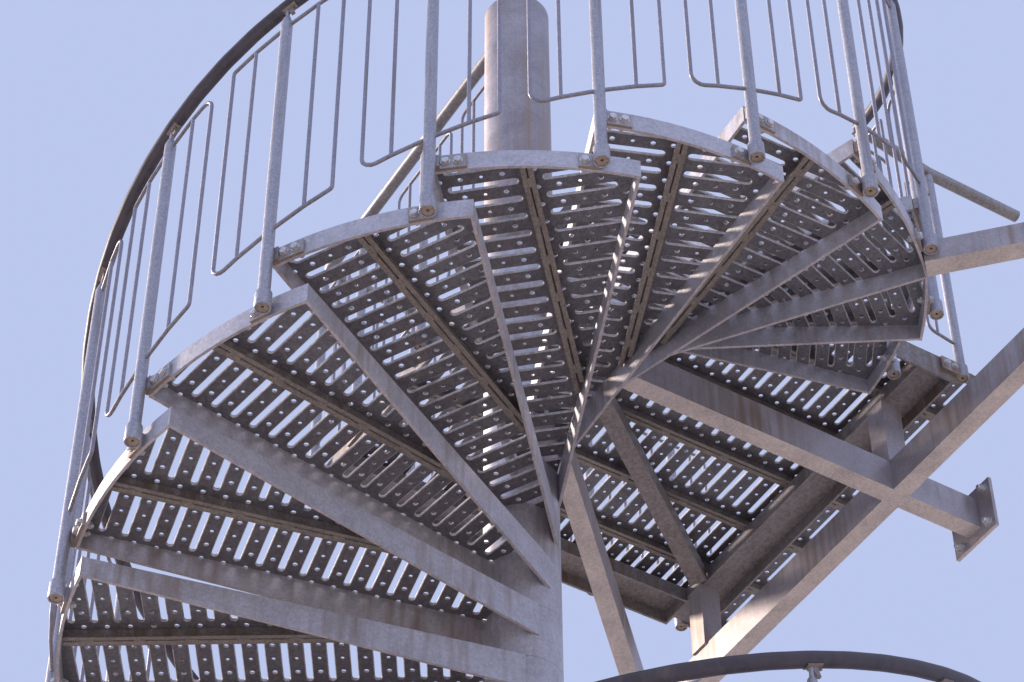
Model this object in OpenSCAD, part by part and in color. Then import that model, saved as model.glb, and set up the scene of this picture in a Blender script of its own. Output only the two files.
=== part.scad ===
/* [Stair] */
// Radius of the circle that the railing posts stand on
ring_r = 1220; // [1180:5:1260]
// Height of one step
rise = 177; // [170:1:184]
// Height of the tread's side bars at the outer end
string_h = 60; // [50:1:70]
// Depth of the tread's side bars where they meet the hub
hub_plate_h = 105; // [90:1:120]
// Thickness of the flat bars in the treads and landing edges
bar_t = 8; // [6:1:10]
// Width of one folded plank
plank_w = 246; // [240:1:248]
// Depth of a plank's folded flanges
flange_h = 40; // [30:1:45]
// Thickness of the plank sheet
sheet_t = 3; // [2:0.5:4]

/* [Column] */
// Outer diameter of the hub sleeves
hub_d = 210; // [200:1:219]
// Outer diameter of the column pipe inside the sleeves
column_d = 168; // [160:1:170]
// Wall of the column pipe
column_wall = 8; // [6:1:12]
// Height of the column above the top landing
column_above = 1020; // [900:10:1100]
// Side of the square base plate
base_w = 600; // [500:10:700]
// Thickness of the base plate
base_t = 20; // [15:1:30]

/* [Railing] */
// Outer diameter of the posts
post_d = 32; // [30:1:34]
// Outer diameter of the ring at a post's foot
foot_d = 43; // [42:1:44]
// Length of a post
post_h = 1125; // [1100:5:1180]
// Thickness of the bent infill rods
rod_d = 11; // [8:1:12]
// Outer diameter of the handrail
handrail_d = 38; // [34:1:42]
// Outer diameter of the landing guards' rails
guard_rail_d = 42; // [38:1:44]
// Height of the landing guard's rail above the floor
guard_h = 950; // [940:5:1000]

/* [Landing] */
// Distance from the column's axis to the wall
wall_y = 1675; // [1650:5:1700]
// Height of the box beams under a landing
beam_h = 120; // [100:5:130]
// Width of the box beams under a landing
beam_w = 60; // [50:5:70]
// Drop from the landing's floor to the underside of the box beams
beam_drop = 476; // [470:2:490]

/* [Hidden] */

// How far a cutter runs past the solid that it cuts
over = 1;
// How far one solid reaches into the next where they are welded
bite = 1;
// Number of sides on round solids
hub_fn = 64;
post_fn = 32;
ring_fn = 180;

// Flights
step_angle = 20;
treads_per_flight = 15;
rises_per_storey = treads_per_flight + 1;
storeys = 3;
start_angle = 138;
storey_h = rises_per_storey * rise;
top_level = storeys * storey_h;
column_top = top_level + column_above;
cap_t = 6;
// Gap between two stacked sleeves
joint = 0.5;
sleeve_gap = 1;
hub_bore = column_d + 2 * sleeve_gap;
hub_r = hub_d / 2;

// Treads
post_gap = 30;
string_out = ring_r - post_gap;
string_in = string_out - bar_t;
// The lower side bar stands just behind the radius through the lower post
low_plate_y = -6;
side_y = hub_r - bar_t - bite;
plank_start = low_plate_y + bar_t;
groove = 2;
rib_y = 226;
tip_x = 30;
high_bar_end = string_in - 2;
low_overhang = asin(-low_plate_y / string_out);
high_overhang = asin(hub_r / string_out);
reach_in = 88;
// How far the bars reach into the curved outer bar
weld_in = 3;

// Posts
foot_gap = 2;
foot_below = string_h + foot_gap;
ring_h = 50;
taper_h = 10;
flange_d = 110;
flange_t = 8;
lug_t = 10;
lug_h = 57;
lug_gap = 0.3;
low_lug_l = 53;
high_lug_l = 88;
block_t = 17;
block_w = 22;
stem_d = 12;
stem_h = 50;
handrail_z = post_h + stem_h + handrail_d / 2 - bite;
handrail_step = 5;
rod_low = 277;
rod_high = 1100;
frame_half = 8.2;
frame_mid = 4.6;

// Landing
plank_pitch = plank_w + groove;
right_edge = 208;
landing_planks_n = 6;
// The last plank is cut along the right edge
last_plank_w = 194;
left_edge = right_edge - last_plank_w - (landing_planks_n - 1) * plank_pitch;
wall_gap = 15;
plank_end = wall_y - wall_gap;
hub_clearance = 3;
// The planks' corner beside the hub is notched for the last tread
notch_x = 50;
notch_y = hub_r - 20;
channel_w = 140;
channel_h = 56;
channel_t = 8;
edge_beam_y = 1330;
frame_top = -flange_h;
edge_plate_h = 90;
near_edge = 8;
near_bar_start = 60;
edge_bar_start = hub_r - 30;
edge_bar_end = 1490;
channel_cut = 10;
bearer_y = 1357;
bearer_left = -1390;
bearer_right = 1100;
collar_d = 250;
collar_gap = 0.5;
beam_start = 112;
stub_w = 75;
stub_left_x = -1025;
wall_plate_t = 12;
wall_plate_w = 200;
wall_hole_d = 18;
wall_hole_pitch = 140;
anchor_hole_d = 24;
anchor_pitch = 480;
brace_w = 60;
brace_angle = 127;
brace_end_r = 1640;
tie_tread = 13;
tie_h = 80;
tie_angle = 44;
tie_x = 908;
tie_y = 772;

// Guards
guard_foot = 56;
// The welded knee between two rails is a little thicker than the rails
knee_d = guard_rail_d + 2;
guard_lug_h = guard_foot - foot_gap;
stem_top = guard_foot + guard_h - guard_rail_d / 2 + bite;
guard_low = 98;
guard_high = 826;
// The rods over a landing's slanting edge lie above the others where they meet
slant_low = 112;
slant_high = 840;
corner_post_x = 215;
corner_post_y = 1515;
left_post_x = left_edge - 24;
near_post_y = near_edge - post_gap - bar_t;
near_posts = [for (k = [0 : 2]) -124.5 - 421 * k];
left_post_pitch = 362;
rail_end_y = 1900;
half_long = 175;
mid_long = 100;
half_short = 150;
mid_short = 85;
half_straight = 125;
diagonal_y = -44;
diagonal_high = 960;
corner_lug_l = 70;
corner_lug_y = 1430;
slant_lug_l = 60;
// The block that holds a flight's last post to the landing's right edge
edge_block_l = 48;
edge_block_h = 44;
edge_block_drop = 52;

steel = "silver";
shade = "slategray";
dark = "dimgray";

function level(n) = n * rise;
function post_angle(i) = start_angle + step_angle * i;
function on_ring(r, a, z) = [r * cos(a), r * sin(a), z];
// The angle that a length along the outer bar takes up
function turn_of(l) = l / string_out * 180 / PI;

// A straight bar of few sides from p to q
module bar(p, q, d, sides = 6) {
    v = q - p;
    l = norm(v);
    translate(p)
        rotate([0, acos(v[2] / l), atan2(v[1], v[0])])
            cylinder(d = d, h = l, $fn = sides);
}

// Base
module base_plate() color(steel) {
    difference() {
        translate([-base_w / 2, -base_w / 2, 0]) cube([base_w, base_w, base_t]);
        for (x = [-1, 1], y = [-1, 1])
            translate([x * anchor_pitch / 2, y * anchor_pitch / 2, -over])
                cylinder(d = anchor_hole_d, h = base_t + 2 * over, $fn = hub_fn);
    }
}

// Column
module column_pipe() color(steel)
    translate([0, 0, base_t])
        difference() {
            cylinder(d = column_d, h = column_top - base_t, $fn = hub_fn);
            translate([0, 0, -over])
                cylinder(d = column_d - 2 * column_wall, h = column_top - base_t + 2 * over, $fn = hub_fn);
        }

module sleeve(bottom, top)
    translate([0, 0, bottom + joint])
        difference() {
            cylinder(d = hub_d, h = top - bottom - 2 * joint, $fn = hub_fn);
            translate([0, 0, -over])
                cylinder(d = hub_bore, h = top - bottom + 2 * over, $fn = hub_fn);
        }

module column_top_sleeve() color(steel)
    sleeve(top_level, column_top);

module column_cap() color(steel)
    translate([0, 0, column_top]) cylinder(d = hub_d, h = cap_t, $fn = hub_fn);

// Treads: x points out to the post at the tread's upper end, z = 0 is the walking surface
module side_bar(y, x_in, x_out)
    translate([0, y + bar_t, 0])
        rotate([90, 0, 0])
            linear_extrude(height = bar_t)
                polygon([
                    [x_in, 0],
                    [x_in, -hub_plate_h],
                    [x_out, bite - string_h],
                    [x_out, 0]
                ]);

module tread(hub_bottom) {
    sleeve(hub_bottom, 0);
    rotate([0, 0, -step_angle]) side_bar(low_plate_y, reach_in, string_in + weld_in);
    side_bar(side_y, tip_x, high_bar_end);
    rotate([0, 0, -step_angle - low_overhang])
        rotate_extrude(angle = step_angle + low_overhang + high_overhang, $fn = ring_fn)
            translate([string_in, -string_h]) square([bar_t, string_h]);
}

module at_treads(s)
    for (i = [1 : treads_per_flight])
        translate([0, 0, s * storey_h + level(i)])
            rotate([0, 0, post_angle(i)]) {
                $first = s == 0 && i == 1;
                children();
            }

module flight_treads(s) color(shade)
    at_treads(s) tread($first ? base_t - rise : -rise);

// The floor of a tread: the sector between the bars, hub and curved bar
module floor_outline() {
    along = [cos(step_angle), -sin(step_angle)];
    across = plank_start * [sin(step_angle), cos(step_angle)];
    past_rim = 1.1 * string_out;
    difference() {
        intersection() {
            circle(r = string_in, $fn = ring_fn);
            polygon([[0, side_y], [past_rim, side_y], past_rim * along + across, across]);
        }
        circle(r = hub_r, $fn = hub_fn);
    }
}

// One of the two planks of a tread, with the flange along the groove folded down
module tread_plank(y0, y1, flange_y)
    intersection() {
        translate([0, 0, -flange_h]) linear_extrude(height = flange_h) floor_outline();
        rotate([0, 0, -step_angle])
            union() {
                translate([0, y0, -sheet_t]) cube([string_out, y1 - y0, sheet_t]);
                translate([0, flange_y, -flange_h]) cube([string_out, sheet_t, flange_h]);
            }
    }

module flight_planks(s) color(dark)
    at_treads(s) {
        tread_plank(0, rib_y, rib_y - sheet_t);
        tread_plank(rib_y + groove, string_out, rib_y + groove);
    }

// Railing posts: x points out through the post, z = 0 is the foot
module lug(a0, l, z)
    translate([0, 0, z])
        rotate([0, 0, a0])
            rotate_extrude(angle = turn_of(l), $fn = ring_fn)
                translate([string_out + lug_gap, 0]) square([lug_t, lug_h]);

// The block between the post and its upper lug
module lug_block(z)
    translate([string_out + lug_gap, 0, z]) cube([block_t, block_w, lug_h]);

// One side of a post's infill frame, level with the next steps
module ring_half(side) {
    slope = rise / step_angle;
    function spot(a, z) = on_ring(ring_r, side * a, z + slope * side * a);
    for (z = [rod_low, rod_high]) bar(spot(0, z), spot(frame_half, z), rod_d);
    for (a = [frame_mid, frame_half]) bar(spot(a, rod_low), spot(a, rod_high), rod_d);
}

// A half frame with level rods that leave the post at the origin along +X
module level_half(reach, mid, low, high) {
    for (z = [low, high]) bar([0, 0, z], [reach, 0, z], rod_d);
    for (x = [mid, reach]) bar([x, 0, low], [x, 0, high], rod_d);
}

module post_tube(bottom) {
    translate([0, 0, bottom]) cylinder(d = post_d, h = post_h - bottom, $fn = post_fn);
    translate([0, 0, post_h - bite]) cylinder(d = stem_d, h = stem_h, $fn = post_fn);
}

module foot_ring() {
    cylinder(d = foot_d, h = ring_h, $fn = post_fn);
    translate([0, 0, ring_h]) cylinder(d1 = foot_d, d2 = post_d, h = taper_h, $fn = post_fn);
}

// The post between two treads
module step_post() {
    translate([ring_r, 0, 0]) {
        post_tube(0);
        foot_ring();
    }
    lug(-turn_of(low_lug_l), low_lug_l, foot_gap);
    ring_half(-1);
}

module upper_side() {
    lug(0, high_lug_l, rise + foot_gap);
    lug_block(rise + foot_gap);
    ring_half(1);
}

// The first post of the stair stands on the ground on a small flange
module ground_post() {
    translate([ring_r, 0, 0]) {
        post_tube(foot_below);
        translate([0, 0, foot_below]) cylinder(d = flange_d, h = flange_t, $fn = post_fn);
    }
    upper_side();
}

// The first post of an upper flight is bolted to the landing's slanting edge
module landing_post() {
    translate([ring_r, 0, 0]) {
        post_tube(0);
        foot_ring();
    }
    face_y = diagonal_y + bar_t;
    translate([ring_r - foot_d / 2, face_y, foot_gap]) cube([high_lug_l + foot_d / 2, lug_t, lug_h]);
    translate([ring_r - block_w / 2, face_y, foot_gap]) cube([block_w, -face_y, lug_h]);
    upper_side();
    translate([ring_r, 0, foot_below])
        level_half(half_long, mid_long, slant_low, diagonal_high);
}

// The last post carries a straight half frame towards the landing's corner post
module last_post() {
    step_post();
    a = post_angle(treads_per_flight);
    post = on_ring(ring_r, a, 0);
    turn = atan2(corner_post_y - post[1], corner_post_x - post[0]) - a;
    translate([ring_r, 0, 0])
        rotate([0, 0, turn]) level_half(half_straight, mid_short, rod_low, rod_high);
    block_x = right_edge + bar_t + lug_gap;
    rotate([0, 0, -a])
        translate([block_x, post[1] - edge_block_l / 2, rise + foot_below - edge_block_drop])
            cube([post[0] - post_d / 2 + foot_gap - block_x, edge_block_l, edge_block_h]);
}

module flight_posts(s) color(steel)
    for (i = [0 : treads_per_flight])
        translate([0, 0, s * storey_h + level(i) - foot_below])
            rotate([0, 0, post_angle(i)])
                if (i == 0 && s == 0) ground_post();
                else if (i == 0) landing_post();
                else if (i == treads_per_flight) last_post();
                else {
                    step_post();
                    upper_side();
                }

// Handrail: a tube swept along the helix above the posts
module swept_tube(points, d, sides = 12) {
    n = len(points);
    ring = [for (k = [0 : n - 1])
        let (
            a = points[max(k - 1, 0)],
            b = points[min(k + 1, n - 1)],
            t = (b - a) / norm(b - a),
            u = cross([0, 0, 1], t) / norm(cross([0, 0, 1], t)),
            w = cross(t, u)
        )
        for (j = [0 : sides - 1])
            points[k] + d / 2 * (cos(360 * j / sides) * u + sin(360 * j / sides) * w)];
    sides_faces = [for (k = [0 : n - 2], j = [0 : sides - 1])
        let (j2 = (j + 1) % sides)
        [k * sides + j, (k + 1) * sides + j, (k + 1) * sides + j2, k * sides + j2]];
    first = [for (j = [0 : sides - 1]) j];
    last = [for (j = [sides - 1 : -1 : 0]) (n - 1) * sides + j];
    polyhedron(ring, concat([first], sides_faces, [last]));
}

module flight_handrail(s)
    color(dark)
        swept_tube(
            [for (a = [post_angle(0) : handrail_step : post_angle(treads_per_flight)])
                on_ring(ring_r, a, s * storey_h - foot_below + handrail_z
                    + (a - start_angle) / step_angle * rise)],
            handrail_d);

// Landings: z = 0 is the floor
module channel(l)
    difference() {
        translate([0, 0, -channel_h]) cube([channel_w, l, channel_h]);
        translate([channel_t, -over, -channel_h - over])
            cube([channel_w - 2 * channel_t, l + 2 * over, channel_h - channel_t + over]);
    }

module edge_bar(p, q) {
    v = q - p;
    translate([p[0], p[1], -edge_plate_h])
        rotate([0, 0, atan2(v[1], v[0])])
            cube([norm(v), bar_t, edge_plate_h]);
}

// Where the cut edge towards the next flight meets the left side
function cut_at(x) = x * tan(start_angle);

module landing_frame(whole) {
    sleeve(-rise, 0);
    // Channel under the planks' wall ends
    translate([left_edge, edge_beam_y + channel_w, frame_top])
        rotate([0, 0, -90]) channel(right_edge - left_edge);
    // Channel under the left plank
    f_start = whole ? near_edge : cut_at(left_edge + channel_w) + channel_cut;
    translate([left_edge, f_start, frame_top]) channel(edge_beam_y - f_start);
    // Flat bar along the right edge
    edge_bar([right_edge + bar_t, edge_bar_start], [right_edge + bar_t, edge_bar_end]);
    translate([near_bar_start, edge_bar_start, -edge_plate_h])
        cube([right_edge - near_bar_start, bar_t, edge_plate_h]);
    // Edge towards the open side
    if (whole)
        translate([left_edge, near_edge - bar_t, -edge_plate_h])
            cube([-left_edge - near_bar_start, bar_t, edge_plate_h]);
    else
        rotate([0, 0, start_angle])
            translate([reach_in, diagonal_y, -edge_plate_h])
                cube([norm([left_edge, cut_at(left_edge)]) - reach_in, bar_t, edge_plate_h]);
    // Box brace from the hub to the far corner
    rotate([0, 0, brace_angle])
        translate([reach_in, -brace_w / 2, frame_top - brace_w])
            cube([brace_end_r - reach_in, brace_w, brace_w]);
}

module landing_planks(whole) {
    y0 = whole ? near_edge + bite : 0;
    l = plank_end - y0;
    cut_h = flange_h + 2 * over;
    for (k = [0 : landing_planks_n - 1]) {
        x0 = left_edge + k * plank_pitch;
        w = min(plank_w, right_edge - bite - x0);
        difference() {
            translate([x0, y0, -flange_h]) cube([w, l, flange_h]);
            translate([x0 + sheet_t, y0 - over, -flange_h - over])
                cube([w - 2 * sheet_t, l + 2 * over, flange_h - sheet_t + over]);
            translate([0, 0, -flange_h - over]) cylinder(r = hub_r + hub_clearance, h = cut_h, $fn = hub_fn);
            // Cut along the slanting edge
            if (!whole)
                rotate([0, 0, start_angle])
                    translate([-ring_r, diagonal_y, -flange_h - over]) cube([3 * ring_r, ring_r, cut_h]);
            translate([notch_x, notch_y - ring_r, -flange_h - over]) cube([ring_r, ring_r, cut_h]);
        }
    }
}

module wall_plate(x, z) {
    difference() {
        translate([x - wall_plate_w / 2, wall_y - wall_plate_t, z - wall_plate_w / 2])
            cube([wall_plate_w, wall_plate_t, wall_plate_w]);
        for (a = [-1, 1], b = [-1, 1])
            translate([x + a * wall_hole_pitch / 2, wall_y + over, z + b * wall_hole_pitch / 2])
                rotate([90, 0, 0]) cylinder(d = wall_hole_d, h = wall_plate_t + 2 * over, $fn = post_fn);
    }
}

module box_beam(p, q, w, h) {
    v = q - p;
    translate(p)
        rotate([0, 0, atan2(v[1], v[0])])
            translate([0, -w / 2, -h]) cube([norm(v), w, h]);
}

module bearers() {
    top = beam_h - beam_drop;
    mid = top - beam_h / 2;
    left_end = [bearer_left, bearer_y, top];
    right_end = [bearer_right, bearer_y, top];
    difference() {
        translate([0, 0, top - beam_h]) cylinder(d = collar_d, h = beam_h, $fn = hub_fn);
        translate([0, 0, top - beam_h - over])
            cylinder(d = hub_d + 2 * collar_gap, h = beam_h + 2 * over, $fn = hub_fn);
    }
    box_beam([0, beam_start, top], [0, wall_y - wall_plate_t, top], beam_w, beam_h);
    near = beam_start / norm([bearer_left, bearer_y]);
    box_beam([near * bearer_left, near * bearer_y, top], left_end, beam_w, beam_h);
    box_beam(left_end - [beam_w / 2, 0, 0], right_end + [beam_w / 2, 0, 0], beam_w, beam_h);
    for (x = [bearer_left, bearer_right])
        box_beam([x, bearer_y, top], [x, wall_y - wall_plate_t, top], beam_w, beam_h);
    for (x = [bearer_left, 0, bearer_right]) wall_plate(x, mid);
    for (x = [stub_left_x, 0])
        translate([x - stub_w / 2, bearer_y - stub_w / 2, top])
            cube([stub_w, stub_w, frame_top - channel_h - top]);
}

// Guards: z = 0 is the floor
module guard_post(x, y)
    translate([x, y, -guard_foot]) {
        foot_ring();
        cylinder(d = post_d, h = stem_top - stem_h, $fn = post_fn);
        cylinder(d = stem_d, h = stem_top, $fn = post_fn);
    }

// The lug beside a guard post, on a face that runs along angle a
module guard_lug(x, y, a, l)
    translate([x, y, -guard_foot])
        rotate([0, 0, a]) cube([l, lug_t, guard_lug_h]);

module guard_rail(points)
    for (k = [1 : len(points) - 1]) {
        translate(points[k - 1]) sphere(d = knee_d, $fn = post_fn);
        bar(points[k - 1], points[k], guard_rail_d, post_fn);
    }

// A half frame beside the post at x, y
module guard_half(x, y, a, reach, mid, low = guard_low, high = guard_high)
    translate([x, y, 0])
        rotate([0, 0, a]) level_half(reach, mid, low, high);

module right_guard(end_y) color(steel) {
    last = post_angle(treads_per_flight);
    guard_post(corner_post_x, corner_post_y);
    guard_lug(right_edge + bar_t + lug_t, corner_lug_y, 90, corner_lug_l);
    guard_rail([
        on_ring(ring_r, last, handrail_z - foot_below - rise),
        [corner_post_x, corner_post_y, guard_h],
        [corner_post_x, end_y, guard_h]
    ]);
    turn = atan2(ring_r * sin(last) - corner_post_y, ring_r * cos(last) - corner_post_x);
    guard_half(corner_post_x, corner_post_y, turn, half_straight, mid_short);
}

// Where the slanting edge meets the line of the left guard
slant_y = cut_at(left_post_x);

module left_guard(whole, end_y) color(steel) {
    x = left_post_x;
    first_y = whole ? near_post_y : slant_y;
    count = whole ? 4 : 1;
    pitch = whole ? left_post_pitch : corner_post_y - slant_y;
    for (k = [0 : count]) {
        y = first_y + k * pitch;
        guard_post(x, y);
        guard_lug(left_edge, y, 90, k == 0 && !whole ? slant_lug_l : high_lug_l);
        guard_half(x, y, 90, half_short, mid_short);
        if (k > 0) guard_half(x, y, -90, half_short, mid_short);
    }
    if (whole)
        guard_rail([[x, first_y, guard_h], [x, end_y, guard_h]]);
    else {
        guard_rail([
            on_ring(ring_r, start_angle, handrail_z - foot_below),
            [x, first_y, guard_h],
            [x, end_y, guard_h]
        ]);
        guard_half(x, first_y, start_angle - 180, half_long, mid_long, slant_low, slant_high);
    }
}

module end_guard() color(steel) {
    y = near_post_y;
    for (x = near_posts) {
        guard_post(x, y);
        translate([x - high_lug_l, near_edge - bar_t - lug_t, -guard_foot])
            cube([high_lug_l, lug_t, guard_lug_h]);
        guard_half(x, y, 180, half_long, mid_long);
        if (x != near_posts[0]) guard_half(x, y, 0, half_long, mid_long);
    }
    // The corner post's own half frame starts at its surface
    side = post_d / 2 - bite;
    guard_half(left_post_x + side, y, 0, half_long - side, mid_long - side);
    bar([bite - hub_r, y, guard_h], [left_post_x + knee_d / 2, y, guard_h], guard_rail_d, post_fn);
}

module at_landing(n) translate([0, 0, n * storey_h]) children();

// Wall tie: from the railing ring to the wall
module wall_tie() color(steel) {
    dx = (wall_y - tie_y - wall_plate_t) / tan(tie_angle);
    box_beam([tie_x, tie_y, 0], [tie_x + dx, wall_y - wall_plate_t, 0], beam_w, tie_h);
    wall_plate(tie_x + dx, -tie_h / 2);
}

base_plate();
column_pipe();
column_top_sleeve();
column_cap();
flight_treads(0);  // flight_1_treads
flight_treads(1);  // flight_2_treads
flight_treads(2);  // flight_3_treads
flight_planks(0);  // flight_1_planks
flight_planks(1);  // flight_2_planks
flight_planks(2);  // flight_3_planks
flight_posts(0);  // flight_1_posts
flight_posts(1);  // flight_2_posts
flight_posts(2);  // flight_3_posts
flight_handrail(0);  // flight_1_handrail
flight_handrail(1);  // flight_2_handrail
flight_handrail(2);  // flight_3_handrail
at_landing(1) color(shade) landing_frame(false);  // landing_1_frame
at_landing(2) color(shade) landing_frame(false);  // landing_2_frame
at_landing(3) color(shade) landing_frame(true);  // landing_3_frame
at_landing(1) color(dark) landing_planks(false);  // landing_1_planks
at_landing(2) color(dark) landing_planks(false);  // landing_2_planks
at_landing(3) color(dark) landing_planks(true);  // landing_3_planks
at_landing(1) color(steel) bearers();  // landing_1_bearers
at_landing(2) color(steel) bearers();  // landing_2_bearers
at_landing(3) color(steel) bearers();  // landing_3_bearers
at_landing(1) right_guard(wall_y);  // landing_1_right_guard
at_landing(2) right_guard(wall_y);  // landing_2_right_guard
at_landing(3) right_guard(rail_end_y);  // landing_3_right_guard
at_landing(1) left_guard(false, wall_y);  // landing_1_left_guard
at_landing(2) left_guard(false, wall_y);  // landing_2_left_guard
at_landing(3) left_guard(true, rail_end_y);  // landing_3_left_guard
at_landing(3) end_guard();  // landing_3_end_guard
translate([0, 0, level(tie_tread)]) wall_tie();  // wall_tie_1
translate([0, 0, level(tie_tread) + storey_h]) wall_tie();  // wall_tie_2
translate([0, 0, level(tie_tread) + 2 * storey_h]) wall_tie();  // wall_tie_3
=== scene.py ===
# %% [markdown]
# # A galvanised spiral fire escape
# The object is a steel stair that winds round a column, with a landing at each storey, bent-rod
# railings and a dark handrail. The frame below brings the steelwork at its real size. These cells dress
# it: they punch the floor planks, bend the rods, turn the posts, set the bolts and give every surface
# its zinc.

# %% Load the frame
import math
import bmesh
import bpy
from mathutils import Matrix, Vector


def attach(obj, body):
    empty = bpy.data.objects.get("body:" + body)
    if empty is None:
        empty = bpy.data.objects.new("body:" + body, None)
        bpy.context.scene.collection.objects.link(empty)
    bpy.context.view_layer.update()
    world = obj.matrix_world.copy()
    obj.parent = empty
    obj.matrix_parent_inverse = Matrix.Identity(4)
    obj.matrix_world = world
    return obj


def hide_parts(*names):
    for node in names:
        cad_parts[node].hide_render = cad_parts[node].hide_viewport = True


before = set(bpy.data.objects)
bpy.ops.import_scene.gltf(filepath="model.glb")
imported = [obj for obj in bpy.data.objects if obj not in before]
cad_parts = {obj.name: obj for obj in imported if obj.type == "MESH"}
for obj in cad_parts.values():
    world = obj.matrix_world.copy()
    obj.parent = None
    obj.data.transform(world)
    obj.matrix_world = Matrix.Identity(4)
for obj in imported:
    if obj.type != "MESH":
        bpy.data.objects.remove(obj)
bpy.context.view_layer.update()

# %% [markdown]
# ## Sizes
# A stair is ruled by a few numbers: the circle that the posts stand on, the rise of a step and the
# angle that a step turns through. Everything else is set out from them, so they come first and the rest
# are sums.

# %% Sizes of the stair, in metres
MM = 0.001
RING = 1220 * MM
RISE = 177 * MM
TURN = math.radians(20)
FIRST_TURN = math.radians(138)
TREADS = 15
STOREY = (TREADS + 1) * RISE
STOREYS = 3
HUB = 105 * MM
BAR = 8 * MM
STRING_OUT = RING - 30 * MM
STRING_IN = STRING_OUT - BAR
STRING_HIGH = 60 * MM
WALL = 1675 * MM


def level(storey, step):
    """Height of a walking surface."""
    return storey * STOREY + step * RISE


def post_turn(step):
    """Angle of the post at the upper end of a step."""
    return FIRST_TURN + TURN * step


def on_ring(radius, turn, height):
    return Vector((radius * math.cos(turn), radius * math.sin(turn), height))


print("top landing at", round(level(2, 16), 3), "m")

# %% [markdown]
# ## Camera
# The photograph looks steeply up at the underside of the top flight from outside the stair. A long lens
# keeps the sides almost parallel, so the camera stands well back and is tilted by 46 degrees.

# %% Place the camera
CAMERA_TURN = math.radians(-31.7)
CAMERA_DISTANCE = 5.650
CAMERA_HEIGHT = 2.099
CAMERA_PITCH = math.radians(46.22)
CAMERA_YAW = math.radians(-0.23)
CAMERA_ROLL = math.radians(-0.407)
CAMERA_LENS = 98.85


def photo_camera():
    heading = CAMERA_TURN + math.pi - CAMERA_YAW
    ahead = on_ring(math.cos(CAMERA_PITCH), heading, math.sin(CAMERA_PITCH))
    right = ahead.cross(Vector((0, 0, 1))).normalized()
    up = right.cross(ahead).normalized()
    turned_right = right * math.cos(CAMERA_ROLL) + up * math.sin(CAMERA_ROLL)
    turned_up = up * math.cos(CAMERA_ROLL) - right * math.sin(CAMERA_ROLL)
    data = bpy.data.cameras.new("photo_camera")
    data.lens = CAMERA_LENS
    data.sensor_width = 36
    camera = bpy.data.objects.new("photo_camera", data)
    bpy.context.scene.collection.objects.link(camera)
    place = Matrix((turned_right, turned_up, -ahead)).transposed().to_4x4()
    place.translation = on_ring(CAMERA_DISTANCE, CAMERA_TURN, CAMERA_HEIGHT)
    camera.matrix_world = place
    bpy.context.scene.camera = camera
    return camera


camera = photo_camera()
print("camera at", [round(v, 2) for v in camera.location])

# %% [markdown]
# ## Helpers for nodes
# Both shader groups and geometry trees are built from the same two moves: make a tree with named
# sockets, and add a node whose inputs are either plain values or other nodes' outputs. A few small
# functions keep every tree below readable.

# %% Node helpers
FLOAT, INT, GEOMETRY, MATERIAL, OBJECT = (
    "NodeSocket" + kind for kind in ("Float", "Int", "Geometry", "Material", "Object"))


def new_tree(name, kind, inputs, outputs):
    tree = bpy.data.node_groups.new(name, kind)
    for label, socket, value in inputs:
        made = tree.interface.new_socket(label, in_out="INPUT", socket_type=socket)
        if value is not None:
            made.default_value = value
    for label, socket in outputs:
        tree.interface.new_socket(label, in_out="OUTPUT", socket_type=socket)
    return tree, tree.nodes.new("NodeGroupInput").outputs, tree.nodes.new("NodeGroupOutput").inputs


def add(tree, kind, inputs=None, **settings):
    node = tree.nodes.new(kind)
    for key, value in settings.items():
        setattr(node, key, value)
    for key, value in (inputs or {}).items():
        if isinstance(value, bpy.types.NodeSocket):
            tree.links.new(value, node.inputs[key])
        else:
            node.inputs[key].default_value = value
    return node


def math_node(tree, operation, *values):
    return add(tree, "ShaderNodeMath", dict(enumerate(values)), operation=operation).outputs[0]


def stretched(tree, value, low, high, ends=(0.0, 1.0)):
    """The value spread so that low and high come out as the two ends."""
    given = {"Value": value, "From Min": low, "From Max": high, "To Min": ends[0], "To Max": ends[1]}
    return add(tree, "ShaderNodeMapRange", given).outputs[0]


print("node helpers ready")

# %% [markdown]
# ## Shader groups
# Hot-dip zinc freezes in crystals of slightly different grey, then weathers: rain leaves streaks,
# joints leak brown, and undersides are darker, partly from real dirt that no rain washes off and partly
# from painted shade. Each of these is one group that gives a mask or a tone, and every metal below mixes
# them with its own values.

# %% Shader groups: crystals and streaks
WOBBLES, CLOUDS, DUST, PATCHES = 60.0, 9.0, 230.0, 2.3
WOBBLE_REACH = 8 * MM
STREAK_EDGE = 0.18


def on_piece(tree):
    return add(tree, "ShaderNodeTexCoord").outputs["Object"]


def noise(tree, place, scale, detail, roughness=0.5):
    """Cloudy noise from 0 to 1, with this many clouds to a metre."""
    given = {"Vector": place, "Scale": scale, "Detail": detail, "Roughness": roughness}
    return add(tree, "ShaderNodeTexNoise", given).outputs["Fac"]


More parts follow.
